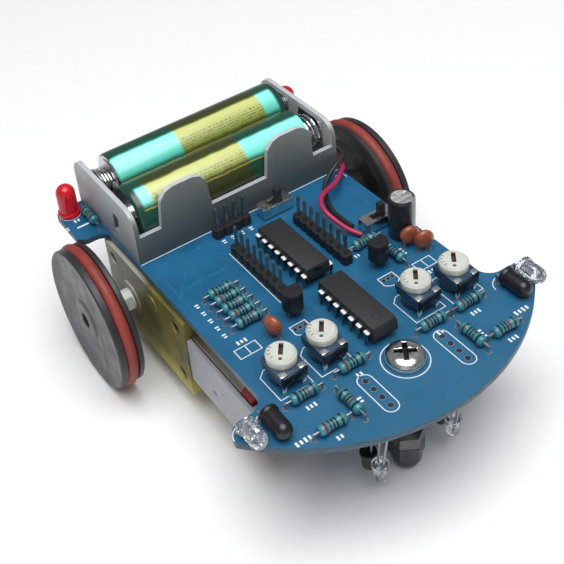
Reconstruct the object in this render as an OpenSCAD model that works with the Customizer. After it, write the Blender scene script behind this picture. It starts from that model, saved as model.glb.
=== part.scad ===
// Two-wheel line-following robot car.
// +X is forward, +Y is the car's left, +Z is up; the wheels and the cap nut stand on z = 0.

/* [Deck] */
// Length of the circuit board from its tail edge to its nose
deck_len = 106; // [105.6:0.2:107]
// Thickness of the circuit board
deck_t = 1.6; // [1.2:0.2:1.8]
// Distance from the skid screw forward to the nose
nose_reach = 15; // [14.6:0.1:16]
// Radius of the curved front edge
nose_r = 51.2; // [50:0.2:53]
// Half width across the two front horns
horn_half = 39.2; // [39:0.1:40.4]
// Half width of the middle of the board
waist_half = 29.3; // [29:0.1:30]
// Half width across the two rear wings
wing_half = 36.6; // [36:0.1:36.7]

/* [Drive] */
// Outside diameter of a wheel over its tyre ring
tyre_od = 36.8; // [36:0.1:37.4]
// Thickness of the tyre ring
tyre_t = 3; // [2.8:0.1:3.2]
// Width of a wheel
wheel_w = 6.2; // [6:0.1:6.6]
// Distance from the car's middle to a wheel's outer face
wheel_face_y = 43.2; // [43.2:0.1:44]
// Distance from the skid screw back to the axles
wheelbase = 65.2; // [64.6:0.1:66]
// Length of a gearbox
gearbox_len = 37.4; // [37.2:0.1:38]
// Height of a gearbox
gearbox_h = 22.3; // [22.3:0.1:22.8]
// Width of a gearbox across its two shells
gearbox_w = 18.8; // [18.8:0.1:19.2]
// Distance from the car's middle to a gearbox's outer face
gearbox_face_y = 30.2; // [30:0.1:30.6]
// Thickness of the gearbox walls
shell_t = 1.5; // [1.4:0.1:1.6]
// Diameter of the motor can
motor_d = 20.1; // [19.8:0.1:20.3]
// Thickness of the foam tape under the deck
tape_t = 0.8; // [0.8:0.1:1.2]

/* [Battery box] */
// Diameter of one AA cell
cell_d = 14.2; // [14:0.1:14.3]
// Length of one AA cell with its positive button
cell_len = 50.5; // [50:0.1:50.8]
// Length of the battery box across the car
box_len = 57.8; // [57.6:0.1:58]
// Thickness of the box walls
box_t = 1.2; // [1.1:0.1:1.3]
// Height of the box's end walls
box_end_h = 14; // [13:0.5:14.5]
// Height of the two front cell-holding tabs
box_tab_h = 17.6; // [17:0.1:18]
// Height of the two rear cell-holding tabs
box_back_tab_h = 10.8; // [10.4:0.1:11.2]
// Distance from the skid screw back to the box's front face
box_setback = 59.6; // [59.4:0.1:59.8]

/* [Electronics] */
// Hole pitch of the electronics
pitch = 2.54; // [2.54]
// Height of a pin header's pins above the deck
pin_h = 8.5; // [8:0.1:9]
// Travel of a slide switch lever
switch_travel = 2; // [1.8:0.1:2]
// Diameter of a trimmer's knob
knob_d = 6.5; // [6.2:0.1:6.6]
// Direction of a trimmer's slot at mid travel, in degrees about Z
slot_angle = 142; // [0:1:359]
// Height of the electrolytic capacitor
can_h = 11; // [10:0.5:12]

/* [Skid] */
// Diameter of the skid screw's thread
skid_d = 4; // [4]
// Length of the skid screw under its head
skid_len = 30; // [29.8:0.1:30.2]

/* [Hidden] */
$fn = 48;
eps = 0.01;
run_gap = 0.05;
skid_x = deck_len / 2 - nose_reach;
axle_x = skid_x - wheelbase;
axle_z = tyre_od / 2;
deck_top = axle_z + gearbox_h / 2 + tape_t + deck_t;
tail_x = nose_reach - deck_len;
gearbox_back = -11.1;
gearbox_front = gearbox_back + gearbox_len;
gearbox_in_y = gearbox_face_y - gearbox_w;
motor_y = gearbox_face_y - gearbox_w / 2;
motor_flat = 15.4;
can_len = 20;
cap_len = 4.6;
motor_end = gearbox_front + can_len + cap_len;
strap_t = 1.2;
strap_h = 12.4;
shaft_r = 2.7;
spindle_r = 1.8;
post_x = 11.5;
post_r = 1.2;
wall_in = gearbox_front - shell_t;
screw_spots = [[22.3, 7.2], [22.3, -7.2], [-7.8, 7.2]];
box_depth = 2 * cell_d + 0.6 + 2 * box_t;
box_mid_x = -box_setback - box_depth / 2;
cell_z = box_t + 0.15 + cell_d / 2;
cell_x = [box_mid_x + cell_d / 2 + 0.15, box_mid_x - cell_d / 2 - 0.15];
cell_in = box_len / 2 - box_t;
row_half = 1.5 * pitch;
header_y = 3.5 * pitch;
header_x = -39.4;
ic1_x = -38.3;
ic2_x = -15.4;
isp_x = -56.6;
isp_y = -5.1;
sites_trimmer = [[-11.3, -22.3], [-11.3, -12.2], [-11.2, 12.5], [-10.3, 22.3]];
sites_switch = [[-55.8, 7], [-36, 22.5]];
sites_to92 = [[-24.4, -10.2], [-25.2, 13.9]];
sites_empty_to92 = [[-20.4, -11.4], [-20.4, 12.6]];
can_site = [-30, 24.8];
// Each resistor is [x, y, angle of its body about Z].
resistors = [for (i = [0:4]) [-39.4 + i * 2.82, -19.2, 90],
    [-4.1, -22.3, 90], [-4.8, -9.8, 90], [2.8, -16.2, 0], [5.2, -22.5, 90],
    [-3.7, 10.5, 90], [-3.6, 20.2, 90], [4.1, 14.4, 0], [6.5, 20.8, 90],
    [-25.3, 18.4, 0], [-32.2, 15.6, 90], [-82.5, -30.4, 0]];
resistor_half = 4.5;
joint_h = 1.5;
// Each ceramic capacitor is [x, y, angle of its disc about Z].
discs = [[-21.6, -17.4, 20], [-25.8, 23.5, 75], [-22.7, 25, 75]];
horn_lamp_d = 3.9;
horn_lamp_x = -3.9;
horn_lamp_z = 2.3;
horn_emitter_y = 36.2;
horn_receiver_y = 31.1;
floor_lamp_y = 10;
floor_emitter_x = 3.6;
floor_receiver_x = -0.3;
floor_lamp_z = -21.3;
tail_lamp = [-88, 33.5];
pads_x = [for (i = [0:3]) -0.3 + i * pitch];
nut_h = 3.2;
nut_af = 7;
cap_nut_h = 8;

// ---------- frames ----------

// Board frame: its origin is on the skid screw's axis, at the deck's top face.
module on_board() {
    translate([skid_x, 0, deck_top]) children();
}

// Axle frame: its origin is the axle's middle; side 1 is the car's left, -1 its right.
module on_axle(side) {
    translate([axle_x, 0, axle_z]) scale_side(side) children();
}

module scale_side(side) {
    if (side > 0) children();
    else mirror([0, 1, 0]) children();
}

module both_sides() {
    children();
    mirror([0, 1, 0]) children();
}

// Turns a shape drawn along +Z so that it runs along +Y from y.
module along_y(y) {
    translate([0, y, 0]) rotate([-90, 0, 0]) children();
}

module along_x(x) {
    translate([x, 0, 0]) rotate([0, 90, 0]) children();
}

// ---------- small shapes ----------

module block(x0, x1, y0, y1, z0, z1) {
    translate([x0, y0, z0]) cube([x1 - x0, y1 - y0, z1 - z0]);
}

module rod(a, b, r) {
    d = b - a;
    len = norm(d);
    translate(a) rotate([0, acos(d[2] / len), atan2(d[1], d[0])])
        cylinder(r = r, h = len, $fn = 16);
}

module round_square(w, h, r) {
    translate([r - w / 2, -h / 2]) square([w - 2 * r, h]);
    translate([-w / 2, r - h / 2]) square([w, h - 2 * r]);
    for (sx = [-1, 1], sy = [-1, 1])
        translate([sx * (w / 2 - r), sy * (h / 2 - r)]) circle(r);
}

// A through-hole lamp: flange at z = 0, dome at z = len.
module led(d, len, lip) {
    cylinder(d = d + lip, h = 1);
    cylinder(d = d, h = len - d / 2);
    translate([0, 0, len - d / 2]) sphere(d = d);
}

// Smooth curve through control points, as a list of points.
function spline(p, per) = concat([for (i = [0:len(p) - 2], k = [0:per - 1])
    curve(p[max(i - 1, 0)], p[i], p[i + 1], p[min(i + 2, len(p) - 1)], k / per)],
    [p[len(p) - 1]]);
function curve(a, b, c, d, t) = 0.5 * ((2 * b) + (c - a) * t
    + (2 * a - 5 * b + 4 * c - d) * t * t + (3 * b - a - 3 * c + d) * t * t * t);
function unit(v) = v / norm(v);
function tangent(p, i) = unit(p[min(i + 1, len(p) - 1)] - p[max(i - 1, 0)]);
function ring(p, i, r, n) = let (t = tangent(p, i),
    u = unit(cross(t, abs(t[2]) < 0.9 ? [0, 0, 1] : [1, 0, 0])), v = cross(t, u))
    [for (k = [0:n - 1]) p[i] + r * (cos(360 * k / n) * u + sin(360 * k / n) * v)];

// A closed tube of radius r swept along the points p.
module tube(p, r, n = 8) {
    last = (len(p) - 1) * n;
    points = [for (i = [0:len(p) - 1]) each ring(p, i, r, n)];
    sides = [for (i = [0:len(p) - 2], k = [0:n - 1])
        let (a = i * n + k, b = i * n + (k + 1) % n) each [[a, b, b + n], [a, b + n, a + n]]];
    polyhedron(points, concat(sides, [[for (k = [n - 1:-1:0]) k]],
        [[for (k = [0:n - 1]) last + k]]));
}

// ---------- deck ----------

module deck_outline() {
    horn_back = -7.3;
    fillet = 4;
    wing_front = -76.2;
    intersection() {
        translate([nose_reach - nose_r, 0]) circle(nose_r, $fn = 180);
        union() {
            translate([-3.4, -horn_half]) square([30, 2 * horn_half]);
            translate([horn_back, -horn_half + 3.4]) square([30, 2 * horn_half - 6.8]);
            for (s = [-1, 1]) translate([horn_back + 3.9, s * (horn_half - 3.9)]) circle(3.9);
        }
    }
    translate([wing_front - eps, -waist_half])
        square([horn_back - wing_front + 2 * eps, 2 * waist_half]);
    for (s = [-1, 1]) {
        difference() {
            translate([horn_back - fillet, s > 0 ? waist_half - eps : -waist_half - fillet])
                square([fillet + eps, fillet + eps]);
            translate([horn_back - fillet, s * (waist_half + fillet)]) circle(fillet);
        }
        difference() {
            translate([wing_front - eps, s > 0 ? waist_half - eps : -waist_half - 3])
                square([3, 3 + eps]);
            translate([wing_front + 3, s * (waist_half + 3)]) circle(3);
        }
    }
    translate([(tail_x + wing_front) / 2, 0])
        round_square(wing_front - tail_x, 2 * wing_half, 2.6);
}

module deck() {
    color("steelblue") on_board() translate([0, 0, -deck_t]) linear_extrude(deck_t)
        difference() {
            deck_outline();
            circle(d = skid_d + 0.3);
            for (site = sites_empty_to92, k = [-1:1])
                translate([site[0], site[1] + k * pitch / 2]) circle(d = 0.9, $fn = 16);
        }
}

// Every soldered hole under the deck, as [x, y].
function row(n, x, y, step) = [for (k = [0:n - 1]) [x + (k - (n - 1) / 2) * step, y]];
function column(n, x, y, step) = [for (k = [0:n - 1]) [x, y + (k - (n - 1) / 2) * step]];
solder_spots = concat(
    [for (s = [-1, 1]) each row(8, header_x, s * header_y, pitch)],
    [for (s = [-1, 1]) each row(8, ic1_x, s * row_half, pitch)],
    [for (s = [-1, 1]) each row(7, ic2_x, s * row_half, pitch)],
    column(4, isp_x, isp_y, pitch),
    [for (s = sites_switch) each column(3, s[0], s[1], pitch)],
    [for (s = sites_to92) each column(3, s[0], s[1], pitch / 2)],
    [for (s = sites_trimmer) each column(2, s[0] + 3.6, s[1], 2 * pitch)],
    [for (s = sites_trimmer) [s[0] - 2, s[1]]],
    [for (r = resistors, e = [-1, 1]) [r[0] + e * resistor_half * cos(r[2]),
        r[1] + e * resistor_half * sin(r[2])]],
    column(2, can_site[0], can_site[1], pitch),
    [for (d = discs, e = [-1, 1]) [d[0] + e * pitch / 2 * cos(d[2]),
        d[1] + e * pitch / 2 * sin(d[2])]],
    [for (s = [-1, 1], y = [horn_emitter_y, horn_receiver_y]) each
        column(2, horn_lamp_x - 1.2, s * y, pitch)],
    [for (s = [-1, 1]) each row(2, tail_lamp[0], s * tail_lamp[1], pitch)],
    [for (s = [-1, 1]) each row(4, pads_x[0] + 1.5 * pitch, s * floor_lamp_y, pitch)]);

// Joints over a gearbox are cut short to clear its top.
function over_gearbox(s) = s[0] < gearbox_front + 1 - wheelbase
    && abs(s[1]) > gearbox_in_y - 1;

module solder_joints() {
    color("silver") on_board() {
        for (s = solder_spots) translate([s[0], s[1], -deck_t]) {
            fillet_h = over_gearbox(s) ? tape_t - 0.1 : 0.8;
            translate([0, 0, -fillet_h]) cylinder(r1 = 0.45, r2 = 0.95, h = fillet_h, $fn = 16);
            if (!over_gearbox(s)) translate([0, 0, -joint_h])
                cylinder(r1 = 0.35, r2 = 0.45, h = joint_h - fillet_h + eps, $fn = 16);
        }
    }
}

// ---------- component leads ----------

module resistor_leads() {
    for (r = resistors) translate([r[0], r[1], 0]) rotate([0, 0, r[2]])
        for (s = [-1, 1]) {
            rod([s * 3.15, 0, 1.4], [s * resistor_half, 0, 1.4], 0.28);
            rod([s * resistor_half, 0, 1.65], [s * resistor_half, 0, 0], 0.28);
        }
}

// Two bare legs from the deck's underside down to a floor lamp's flange.
module floor_legs(x, first_pad) {
    for (k = [0, 1])
        rod([pads_x[first_pad + k], floor_lamp_y, -deck_t - joint_h - 0.05],
            [x + (k - 0.5) * 1.6, floor_lamp_y, floor_lamp_z], 0.25);
}

module horn_legs(y) {
    for (s = [-1, 1]) {
        rod([horn_lamp_x, y + s * pitch / 2, horn_lamp_z],
            [horn_lamp_x - 1.4, y + s * pitch / 2, horn_lamp_z], 0.25);
        rod([horn_lamp_x - 1.2, y + s * pitch / 2, horn_lamp_z + 0.2],
            [horn_lamp_x - 1.2, y + s * pitch / 2, 0], 0.25);
    }
}

module component_leads() {
    color("gainsboro") on_board() {
        resistor_leads();
        for (s = sites_to92, k = [-1:1])
            rod([s[0], s[1] + k * pitch / 2, 0], [s[0], s[1] + k * pitch / 2, 2.3], 0.24);
        for (d = discs) translate([d[0], d[1], 0]) rotate([0, 0, d[2]]) for (s = [-1, 1])
            rod([s * pitch / 2, 0, 0], [s * pitch / 2, 0, 1.2], 0.24);
        both_sides() {
            horn_legs(horn_emitter_y);
            horn_legs(horn_receiver_y);
            floor_legs(floor_emitter_x, 2);
            floor_legs(floor_receiver_x, 0);
        }
    }
}

// ---------- battery box ----------

module box_side_wall(x, tab_h) {
    tab_w = 14;
    sill = 7.4;
    block(x - box_t / 2, x + box_t / 2, -box_len / 2, box_len / 2, 0, sill);
    for (s = [-1, 1]) translate([x - box_t / 2, s * 14.9, 0]) rotate([90, 0, 90])
        linear_extrude(box_t) polygon([[-tab_w / 2, sill - eps], [tab_w / 2, sill - eps],
            [tab_w / 2 - 0.8, tab_h - 2.6], [tab_w / 2 - 2.4, tab_h - 0.7],
            [tab_w / 2 - 4.4, tab_h], [4.4 - tab_w / 2, tab_h],
            [2.4 - tab_w / 2, tab_h - 0.7], [0.8 - tab_w / 2, tab_h - 2.6]]);
}

module box_end_wall(s) {
    y0 = s > 0 ? box_len / 2 - box_t : -box_len / 2;
    r = 4.5;
    x0 = box_mid_x - box_depth / 2;
    difference() {
        union() {
            block(x0, x0 + box_depth, y0, y0 + box_t, 0, box_end_h - r);
            block(x0 + r, x0 + box_depth - r, y0, y0 + box_t, 0, box_end_h);
            for (x = [x0 + r, x0 + box_depth - r])
                translate([x, 0, box_end_h - r]) along_y(y0) cylinder(r = r, h = box_t);
        }
        if (s > 0) for (x = cell_x) block(x - 0.6, x + 0.6, y0 - 1, y0 + box_t + 1, 3.6, 8.4);
        else block(cell_x[0] - 2.7, cell_x[0] - 0.1, y0 - 1, y0 + box_t + 1, 4, 8.8);
    }
}

module battery_box() {
    color("whitesmoke") on_board() {
        block(box_mid_x - box_depth / 2, box_mid_x + box_depth / 2,
            -box_len / 2, box_len / 2, 0, box_t);
        block(box_mid_x - 0.1, box_mid_x + 0.1, -cell_in, cell_in, 0, 4);
        box_side_wall(box_mid_x + (box_depth - box_t) / 2, box_tab_h);
        box_side_wall(box_mid_x - (box_depth - box_t) / 2, box_back_tab_h);
        for (s = [-1, 1]) box_end_wall(s);
    }
}

// A cell along +Y with its positive button at the far end.
module cell(base_y) {
    button = 1.2;
    along_y(base_y) {
        cylinder(d = cell_d - 2, h = 0.5);
        translate([0, 0, 0.4]) cylinder(d1 = cell_d - 1, d2 = cell_d, h = 0.5);
        translate([0, 0, 0.9 - eps]) cylinder(d = cell_d, h = cell_len - button - 1.6);
        translate([0, 0, cell_len - button - 0.7 - 2 * eps])
            cylinder(d1 = cell_d, d2 = cell_d - 1.4, h = 0.7);
        translate([0, 0, cell_len - button - 0.2]) cylinder(d = 5.3, h = button + 0.2);
    }
}

module battery_front() {
    color("mediumaquamarine") on_board() mirror([0, 1, 0])
        translate([cell_x[0], 0, cell_z]) cell(cell_in - 0.45 - cell_len);
}

module battery_rear() {
    color("mediumaquamarine") on_board()
        translate([cell_x[1], 0, cell_z]) cell(cell_in - 0.45 - cell_len);
}

// Conical coil from a plate at z = 0 up to the cell's end.
module coil(h) {
    turns = 3;
    steps = 11;
    tube([for (i = [0:turns * steps]) let (t = i / (turns * steps), r = 4.4 - 1.7 * t)
        [r * cos(360 * turns * t), r * sin(360 * turns * t), 0.4 + (h - 0.8) * t]], 0.32, 6);
}

module battery_springs() {
    gap = 2 * cell_in - 0.9 - cell_len;
    color("silver") on_board() {
        translate([cell_x[0], cell_in - 0.45, cell_z]) rotate([90, 0, 0]) coil(gap);
        translate([cell_x[1], -cell_in + 0.45, cell_z]) rotate([-90, 0, 0]) coil(gap);
    }
}

module battery_plates() {
    color("silver") on_board() {
        block(cell_x[1] - 5, cell_x[0] + 5, -cell_in, -cell_in + 0.4, 3, 13);
        for (x = cell_x) {
            block(x - 5, x + 5, cell_in - 0.4, cell_in, 3, 13);
            block(x - 0.5, x + 0.5, cell_in - eps, box_len / 2 + 0.9, 4, 8);
        }
    }
}

// ---------- battery leads ----------

red_path = [[cell_x[1] + 1.2, 29.7, 5.4], [cell_x[1] + 4.6, 30.2, 3.4], [-72, 30.3, 1.6],
    [-65, 30.7, 1], [-59, 30, 1.2], [-55, 26.4, 2.2], [-51.4, 21.6, 3.4],
    [-49.6, 17.4, 4], [-47, 14.4, 4.4], [-43.6, 13.3, 4], [-40.4, 14, 2.8],
    [-37.6, 15.2, 1.6], [-34.8, 16.9, 0.9]];
black_path = [[cell_x[0] + 1.2, 29.8, 5.4], [-63.2, 30.7, 4.6], [-59.4, 30.6, 3.9],
    [-57.6, 27.4, 3.5], [-56.4, 24.2, 2.4], [-54.6, 21.4, 1.5], [-51.6, 19.2, 0.9],
    [-48, 17.6, 0.8], [-44.4, 17, 0.75], [-41.4, 17, 0.75], [-38.6, 17.2, 0.75]];

module lead_red() {
    color("crimson") on_board() tube(spline(red_path, 3), 0.6);
}

module lead_black() {
    color("dimgray") on_board() tube(spline(black_path, 3), 0.6);
}

// ---------- chips and headers ----------

// A dual-in-line chip standing on its own legs, with a notch or a dimple at its first end.
module chip(n, x, len, notched) {
    low = 1.95;
    top = low + 3.3;
    shoulder = low + 1.55;
    color("gray") on_board() {
        difference() {
            block(x - len / 2, x + len / 2, -3.2, 3.2, low, top);
            if (notched) translate([x + len / 2, 0, top - 0.7]) cylinder(r = 1.1, h = 1);
            else translate([x + len / 2 - 2.9, 0, top - 0.25]) cylinder(r = 1, h = 1);
        }
        for (s = [-1, 1], p = row(n, x, s * row_half, pitch)) {
            block(p[0] - 0.7, p[0] + 0.7, min(s * 3.1, p[1] + s * 0.14),
                max(s * 3.1, p[1] + s * 0.14), shoulder, shoulder + 0.26);
            block(p[0] - 0.7, p[0] + 0.7, p[1] - 0.14, p[1] + 0.14, 1.5, shoulder + 0.26);
            block(p[0] - 0.25, p[0] + 0.25, p[1] - 0.14, p[1] + 0.14, 0, 1.6);
        }
    }
}

module strip(spots) {
    for (p = spots) translate([p[0], p[1], 0]) difference() {
        block(-pitch / 2 - eps, pitch / 2 + eps, -pitch / 2 - eps, pitch / 2 + eps, 0, 2.54);
        block(-0.34, 0.34, -0.34, 0.34, -1, 4);
    }
}

module header_strips_8() {
    color("dimgray") on_board() for (s = [-1, 1]) strip(row(8, header_x, s * header_y, pitch));
}

module header_strip_4() {
    color("dimgray") on_board() strip(column(4, isp_x, isp_y, pitch));
}

module header_pins() {
    spots = concat(row(8, header_x, header_y, pitch), row(8, header_x, -header_y, pitch),
        column(4, isp_x, isp_y, pitch));
    color("gold") on_board() for (p = spots) translate([p[0], p[1], 0]) {
        block(-0.32, 0.32, -0.32, 0.32, 0, pin_h - 0.4);
        block(-0.2, 0.2, -0.2, 0.2, pin_h - 0.4 - eps, pin_h);
    }
}

// ---------- switches ----------

module switch_frames() {
    color("lightgray") on_board() for (s = sites_switch) translate([s[0], s[1], 0]) {
        difference() {
            block(-1.8, 1.8, -4.3, 4.3, 0.3, 3.2);
            block(-0.85, 0.85, -1.9, 1.9, 1.1, 5);
        }
        for (p = column(3, 0, 0, pitch)) block(-0.2, 0.2, p[1] - 0.4, p[1] + 0.4, 0, 0.4);
    }
}

module switch_lever(site) {
    color("dimgray") on_board() translate([site[0], site[1] + switch_travel / 2, 0])
        block(-0.75, 0.75, -0.75, 0.75, 1.3, 6.3);
}

// ---------- capacitors, trimmers, resistors, transistors, lamps ----------

module capacitor_can() {
    color("silver") on_board() translate([can_site[0], can_site[1], 0]) {
        difference() {
            cylinder(r = 2.95, h = can_h);
            for (a = [0, 60, 120]) rotate([0, 0, a])
                block(-2.3, 2.3, -0.12, 0.12, can_h - 0.25, can_h + 1);
        }
    }
}

module capacitor_sleeve() {
    color("dimgray") on_board() translate([can_site[0], can_site[1], 0]) difference() {
        cylinder(r = 3.15, h = can_h + 0.2);
        translate([0, 0, -1]) cylinder(r = 2.95, h = can_h + 1.2 - 0.1);
        cylinder(r = 2.6, h = can_h + 1);
    }
}

module ceramic_capacitors() {
    color("chocolate") on_board() for (d = discs)
        translate([d[0], d[1], 3.3]) rotate([0, 0, d[2]]) {
            along_y(-0.6) cylinder(r = 2.35, h = 1.2);
            along_y(0.6 - eps) cylinder(r1 = 2.35, r2 = 1.5, h = 0.5);
            along_y(-1.1) cylinder(r1 = 1.5, r2 = 2.35, h = 0.5 + eps);
        }
}

module trimmer_bases() {
    color("royalblue") on_board() for (s = sites_trimmer) translate([s[0], s[1], 0]) {
        difference() {
            union() {
                block(-3, 4.5, -3.3, 3.3, 2.6, 5.2);
                translate([0, 0, 0.3]) cylinder(r = 3, h = 2.4);
                block(3, 4.5, -3.3, -1.5, 0, 2.7);
                block(3, 4.5, 1.5, 3.3, 0, 2.7);
                block(-3, -1.8, -1, 1, 0, 2.7);
            }
            translate([0, 0, 1.5]) cylinder(r = 1.25, h = 5);
        }
    }
}

module trimmer_knob(site) {
    color("ivory") on_board() translate([site[0], site[1], 0]) difference() {
        union() {
            translate([0, 0, 5.3]) cylinder(d = knob_d, h = 1.5);
            translate([0, 0, 6.8 - eps]) cylinder(d1 = knob_d, d2 = knob_d - 1, h = 0.6);
            translate([0, 0, 1.8]) cylinder(r = 1.2, h = 4);
        }
        rotate([0, 0, slot_angle]) {
            block(-1, 2.2, -0.5, 0.5, 6.2, 9);
            translate([-2, 0, 6.8]) cylinder(r = 0.42, h = 2, $fn = 16);
        }
    }
}

module resistors_node() {
    color("teal") on_board() for (r = resistors)
        translate([r[0], r[1], 1.4]) rotate([0, 0, r[2]]) {
            along_x(-3.15) cylinder(r = 1.25, h = 1.7);
            along_x(-1.5) cylinder(r = 1.05, h = 3);
            along_x(1.45) cylinder(r = 1.25, h = 1.7);
        }
}

module transistors() {
    color("dimgray") on_board() for (s = sites_to92)
        translate([s[0], s[1], 2.3]) intersection() {
            cylinder(r = 2.35, h = 4.8);
            block(-1.4, 3, -3, 3, 0, 5);
        }
}

module horn_lamps(y, len) {
    on_board() both_sides() translate([horn_lamp_x, y, horn_lamp_z]) rotate([0, 90, 0])
        led(horn_lamp_d, len, 0.5);
}

module horn_emitters() {
    color("lightgray") horn_lamps(horn_emitter_y, 6.2);
}

module horn_receivers() {
    color("dimgray") horn_lamps(horn_receiver_y, 7.1);
}

module floor_lamps(x) {
    on_board() both_sides() translate([x, floor_lamp_y, floor_lamp_z]) rotate([180, 0, 0])
        led(3, 5.3, 0.8);
}

module floor_emitters() {
    color("lightgray") floor_lamps(floor_emitter_x);
}

module floor_receivers() {
    color("dimgray") floor_lamps(floor_receiver_x);
}

module tail_leds() {
    color("red") on_board() both_sides() translate([tail_lamp[0], tail_lamp[1], 0.3])
        led(4.9, 8.7, 0.8);
}

// ---------- skid ----------

module skid_screw() {
    color("silver") on_board() difference() {
        union() {
            translate([0, 0, -skid_len]) cylinder(d = skid_d, h = skid_len);
            cylinder(d = 8.4, h = 1.6);
            translate([0, 0, 1.6 - eps]) cylinder(d1 = 8.4, d2 = 5, h = 1.1);
        }
        for (a = [57, 147]) rotate([0, 0, a]) block(-2.1, 2.1, -0.45, 0.45, 1, 4);
    }
}

module hex(h) {
    cylinder(d = nut_af / cos(30), h = h, $fn = 6);
}

module hex_nuts() {
    color("silver") on_board() for (z = [-deck_t - nut_h, cap_nut_h - deck_top])
        translate([0, 0, z]) difference() {
            hex(nut_h);
            translate([0, 0, -1]) cylinder(d = skid_d, h = nut_h + 2);
        }
}

module cap_nut() {
    dome = 3.45;
    color("silver") on_board() translate([0, 0, -deck_top]) difference() {
        union() {
            translate([0, 0, cap_nut_h - 3.6]) hex(3.6);
            intersection() {
                translate([0, 0, dome]) sphere(dome);
                cylinder(r = 5, h = dome);
            }
            translate([0, 0, dome - eps]) cylinder(r = dome, h = cap_nut_h - 3.6 - dome + 2 * eps);
        }
        translate([0, 0, deck_top - skid_len]) cylinder(d = skid_d, h = 20);
    }
}

// ---------- drive ----------

module foam_tapes() {
    color("lightyellow") both_sides() on_axle(1)
        block(gearbox_back + 3, gearbox_front - 3, gearbox_in_y + 1, waist_half - 1.5,
            gearbox_h / 2, gearbox_h / 2 + tape_t);
}

// Half of the gearbox between two depths, with its cavity, bosses and motor seat.
module shell_half(y0, y1, wall_y0, wall_y1) {
    difference() {
        union() {
            difference() {
                block(gearbox_back, gearbox_front, y0, y1, -gearbox_h / 2, gearbox_h / 2);
                block(gearbox_back + shell_t, wall_in, wall_y0, wall_y1,
                    shell_t - gearbox_h / 2, gearbox_h / 2 - shell_t);
            }
            for (s = screw_spots) translate([s[0], 0, s[1]]) along_y(y0) cylinder(r = 2, h = y1 - y0);
        }
        for (s = screw_spots) translate([s[0], 0, s[1]]) along_y(y0 - 1)
            cylinder(r = 1, h = y1 - y0 + 2);
        translate([0, motor_y, 0]) along_x(wall_in - 1) cylinder(r = 3.1, h = shell_t + 2);
    }
}

module gearbox_outer_shells() {
    color("gold") both_sides() on_axle(1) difference() {
        union() {
            shell_half(motor_y + eps, gearbox_face_y, motor_y - 1, gearbox_face_y - shell_t);
            along_y(gearbox_face_y - shell_t) cylinder(r = 4.6, h = shell_t + 0.5);
            translate([post_x, 0, 6.4]) along_y(gearbox_face_y - eps) cylinder(r = 2.4, h = 0.3);
        }
        along_y(20) cylinder(r = shaft_r + run_gap, h = 20);
        for (s = screw_spots) translate([s[0], 0, s[1]]) along_y(gearbox_face_y - 1.6)
            cylinder(r = 1.8, h = 3);
    }
}

module gearbox_inner_shells() {
    color("gold") both_sides() on_axle(1) {
        difference() {
            union() {
                shell_half(gearbox_in_y, motor_y, gearbox_in_y + shell_t, motor_y + 1);
                along_y(gearbox_in_y) cylinder(r = 3.6, h = shell_t + 1.4);
            }
            along_y(gearbox_in_y + 0.9) cylinder(r = spindle_r + run_gap, h = 5);
        }
        translate([post_x, 0, 0]) along_y(gearbox_in_y + shell_t - eps)
            cylinder(r = post_r, h = gearbox_w - 2 * shell_t - 0.3);
    }
}

module gearbox_screws() {
    color("silver") both_sides() on_axle(1) for (s = screw_spots) translate([s[0], 0, s[1]]) {
        along_y(gearbox_in_y + 2) cylinder(r = 1, h = gearbox_w - 3.6 + eps);
        along_y(gearbox_face_y - 1.6) difference() {
            cylinder(r = 1.7, h = 1.1);
            for (a = [0, 90]) rotate([0, 0, a]) block(-1, 1, -0.2, 0.2, 0.6, 2);
        }
    }
}

module motor_section(grow) {
    intersection() {
        circle(d = motor_d + 2 * grow, $fn = 64);
        square([motor_d + 4, motor_flat + 2 * grow], center = true);
    }
}

// The motor's round-with-two-flats section, from x0 over a length.
module motor_body(x0, len, grow) {
    translate([x0, motor_y, 0]) rotate([90, 0, 90]) linear_extrude(len)
        rotate([0, 0, 90]) motor_section(grow);
}

module motor_cans() {
    color("gray") both_sides() on_axle(1) difference() {
        union() {
            motor_body(gearbox_front, can_len, 0);
            translate([0, motor_y, 0]) along_x(gearbox_front - 1.2) cylinder(r = 3, h = 1.3);
        }
        motor_body(gearbox_front + 1, can_len, -0.8);
        translate([0, motor_y, 0]) along_x(0) cylinder(r = 1 + run_gap, h = 40);
    }
}

module motor_caps() {
    color("firebrick") both_sides() on_axle(1) difference() {
        union() {
            motor_body(motor_end - cap_len, cap_len - 0.6, -0.1);
            translate([0, motor_y, 0]) along_x(motor_end - 0.7) cylinder(r = 3.4, h = 0.6);
        }
        motor_body(motor_end - cap_len - 1, 3.4, -1.4);
        translate([0, motor_y, 0]) along_x(motor_end - 4) cylinder(r = 1 + run_gap, h = 3);
    }
}

module motor_straps() {
    y_out = motor_y + motor_flat / 2 + 0.1;
    color("ghostwhite") both_sides() on_axle(1) difference() {
        for (s = [-1, 1]) {
            y = s > 0 ? y_out : 2 * motor_y - y_out - strap_t;
            block(gearbox_front, motor_end + strap_t, y, y + strap_t, -strap_h / 2, strap_h / 2);
            block(motor_end, motor_end + strap_t, y_out - motor_flat - 0.2 - eps, y_out + eps,
                -strap_h / 2, strap_h / 2);
        }
        translate([36.8, 0, -1.6]) along_y(motor_y) cylinder(r = 0.7, h = 12, $fn = 24);
    }
}

// Four short leads from the motors' end caps up to the deck.
module motor_leads() {
    lead_foot = 9.4;
    color("indianred") both_sides() on_axle(1) for (s = [-1, 1])
        translate([motor_end - 2.4, motor_y + 4 * s, lead_foot])
            cylinder(r = 0.6, h = gearbox_h / 2 + tape_t - lead_foot, $fn = 24);
}

// Toothed outline with its tips on r_tip.
function teeth(n, r_tip, depth) = [for (i = [0:n - 1], c = [[0.1, 0], [0.4, 0], [0.55, 1], [0.95, 1]])
    let (a = 360 * (i + c[0]) / n, r = r_tip - c[1] * depth) [r * cos(a), r * sin(a)]];

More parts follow.
